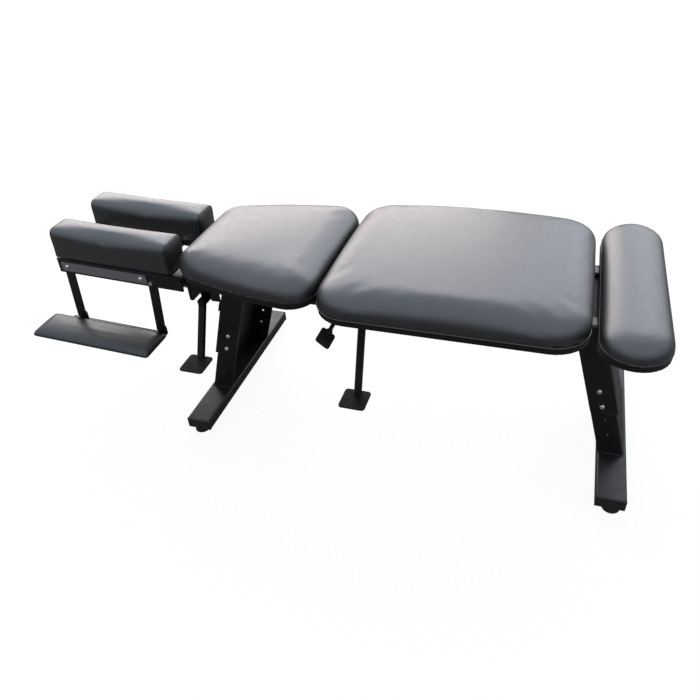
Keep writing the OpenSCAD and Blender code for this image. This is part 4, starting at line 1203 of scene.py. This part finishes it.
def bead(end):
    """Along the outer face of the leg's web and its two flanges, on top of the foot bar."""
    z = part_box(end + "_foot_bar")[1].z
    base = [v.co for v in frame["nodes"][end + "_lower_leg"].data.vertices if v.co.z < z + 0.002]
    x0, x1 = min(p.x for p in base), max(p.x for p in base)
    y = max(p.y for p in base)
    web, free = (x0, x1) if end == "front" else (x1, x0)
    corners = [Vector((free, -y, z)), Vector((web, -y, z)), Vector((web, y, z)), Vector((free, y, z))]
    spots = []
    for a, b in zip(corners, corners[1:]):
        steps = int((b - a).length / PUDDLE)
        for i in range(steps):
            wave = 0.0003 * math.sin(1.7 * i) + 0.0002 * math.sin(0.61 * i)
            place = a.lerp(b, i / steps) + Vector((0, 0, wave))
            spots.append((place, Vector((0, 0, 1)), (b - a).normalized()))
    return spots


weld = puddle()
for end in ("front", "rear"):
    scatter(end + "_leg_weld", bead(end), weld, black_coat, "table_frame")
for tool in tools:
    bpy.data.objects.remove(tool)
print("weld beads: 2")

# %% [markdown]
# ## The floor
# The floor takes the table's faint shadow as a dull grey diffuse, and glows on
# top of that, so that the camera sees it nearly white. Far from the table no
# lamp reaches, so it glows a little more there. In mirrors it stays dark: a
# white floor would turn the sides of the black cushions grey.

# %% Make the floor
def light_path(tree):
    """1 for what the camera sees, straight or through glass, and 1 for what mirrors see."""
    path = node(tree, "ShaderNodeLightPath").outputs
    seen = fed(path["Is Camera Ray"], 0, "ShaderNodeMath", operation="MAXIMUM")
    tree.links.new(path["Is Transmission Ray"], seen.inputs[1])
    return seen.outputs[0], path["Is Glossy Ray"]


def backdrop_shader(name, diffuse, near_table, far_off, to_mirrors):
    """near_table and far_off: the glow to the camera, by distance from the table."""
    material = bpy.data.materials.new(name)
    material.use_nodes = True
    tree = material.node_tree
    tree.nodes.clear()
    where = node(tree, "ShaderNodeTexCoord").outputs["Object"]
    far = fed(where, 0, "ShaderNodeVectorMath", operation="LENGTH").outputs["Value"]
    glow_here = mapped(far, 1.2, 4.0, near_table, far_off, interpolation_type="SMOOTHSTEP")
    seen, mirrored = light_path(tree)
    level = fed(seen, 0, "ShaderNodeMath", operation="MULTIPLY_ADD")
    tree.links.new(glow_here, level.inputs[1])
    in_mirrors = fed(mirrored, 0, "ShaderNodeMath", {1: to_mirrors}, operation="MULTIPLY")
    tree.links.new(in_mirrors.outputs[0], level.inputs[2])
    lit = node(tree, "ShaderNodeBsdfDiffuse", {"Color": (diffuse, diffuse, diffuse, 1)})
    glow = fed(level.outputs[0], "Strength", "ShaderNodeEmission")
    both, out = node(tree, "ShaderNodeAddShader"), node(tree, "ShaderNodeOutputMaterial")
    wire(tree, (lit, 0, both, 0), (glow, 0, both, 1), (both, 0, out, "Surface"))
    return material


FAR = 40
corners = [(-FAR, -FAR, 0), (FAR, -FAR, 0), (FAR, FAR, 0), (-FAR, FAR, 0)]
floor = new_object("floor", mesh_from("floor", corners, [(0, 1, 2, 3)]))
floor.data.materials.append(
    backdrop_shader("pale_floor", diffuse=0.13, near_table=0.91, far_off=0.97, to_mirrors=0.08))
floor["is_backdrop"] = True
print("floor:", floor.dimensions[:2])

# %% [markdown]
# ## The lamps
# Three broad softboxes stand behind the table. The warm one, low behind the
# head end, turns the tops of the black cushions grey. A cool one does the same
# for the foot end, and a high one draws the light along the near edges.

# %% Hang the lamps
def softbox(name, place, target, size, radiance, colour):
    lamp = bpy.data.lights.new(name, "AREA")
    lamp.shape = "RECTANGLE"
    lamp.size, lamp.size_y = size
    lamp.energy = radiance * math.pi * size[0] * size[1]
    lamp.color = colour
    made = new_object(name, lamp)
    made.location = place
    made.rotation_euler = (Vector(target) - Vector(place)).to_track_quat("-Z", "Y").to_euler()


softbox("warm_window", (-1.75, 3.3, 1.75), (0, 0, 0.5), (4.4, 2.1), radiance=3.7, colour=(1.0, 0.90, 0.86))
softbox("cool_wall", (2.0, 3.3, 1.75), (0.3, 0, 0.5), (3.2, 2.3), radiance=1.6, colour=(0.92, 0.95, 1.0))
softbox("high_panel", (-0.3, 2.3, 3.1), (0, 0, 0.5), (6.0, 1.5), radiance=1.9, colour=(0.90, 0.93, 1.0))
print("lamps:", len(bpy.data.lights))

# %% [markdown]
# ## The room
# The world is plain white to the camera and through glass. In mirrors it is a
# slate sky that darkens to the horizon, which keeps the vinyl black at its
# edges. To everything else it is a dim, even fill.

# %% Paint the room into the world
def room_world(fill_strength, mirror_low, mirror_high):
    world = bpy.data.worlds.new("room")
    world.use_nodes = True
    tree = world.node_tree
    tree.nodes.clear()

    def background(colour, strength=1.0):
        return node(tree, "ShaderNodeBackground", {"Color": (*colour, 1), "Strength": strength})

    fill = background((0.94, 0.97, 1.0), fill_strength)
    mirror = background((0.78, 0.87, 1.0))
    white = background((1, 1, 1))
    where = node(tree, "ShaderNodeTexCoord").outputs["Generated"]
    axes = fed(where, 0, "ShaderNodeSeparateXYZ").outputs
    rise = mapped(axes["Z"], -0.05, 0.6, mirror_low, mirror_high, interpolation_type="SMOOTHSTEP")
    tree.links.new(rise, mirror.inputs["Strength"])
    seen, mirrored = light_path(tree)
    glossy, plain = fed(mirrored, "Fac", "ShaderNodeMixShader"), fed(seen, "Fac", "ShaderNodeMixShader")
    out = node(tree, "ShaderNodeOutputWorld")
    wire(tree, (fill, 0, glossy, 1), (mirror, 0, glossy, 2), (glossy, 0, plain, 1), (white, 0, plain, 2),
         (plain, 0, out, "Surface"))
    return world


scene.world = room_world(fill_strength=0.60, mirror_low=0.12, mirror_high=1.4)
print("world:", scene.world.name)

# %% [markdown]
# ## The dressed table's box
# The dressed table may stand a few millimetres out of the solids' box, where
# the crowns swell. The box of every shown piece but the floor is measured here.

# %% Measure the dressed table
lo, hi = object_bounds()
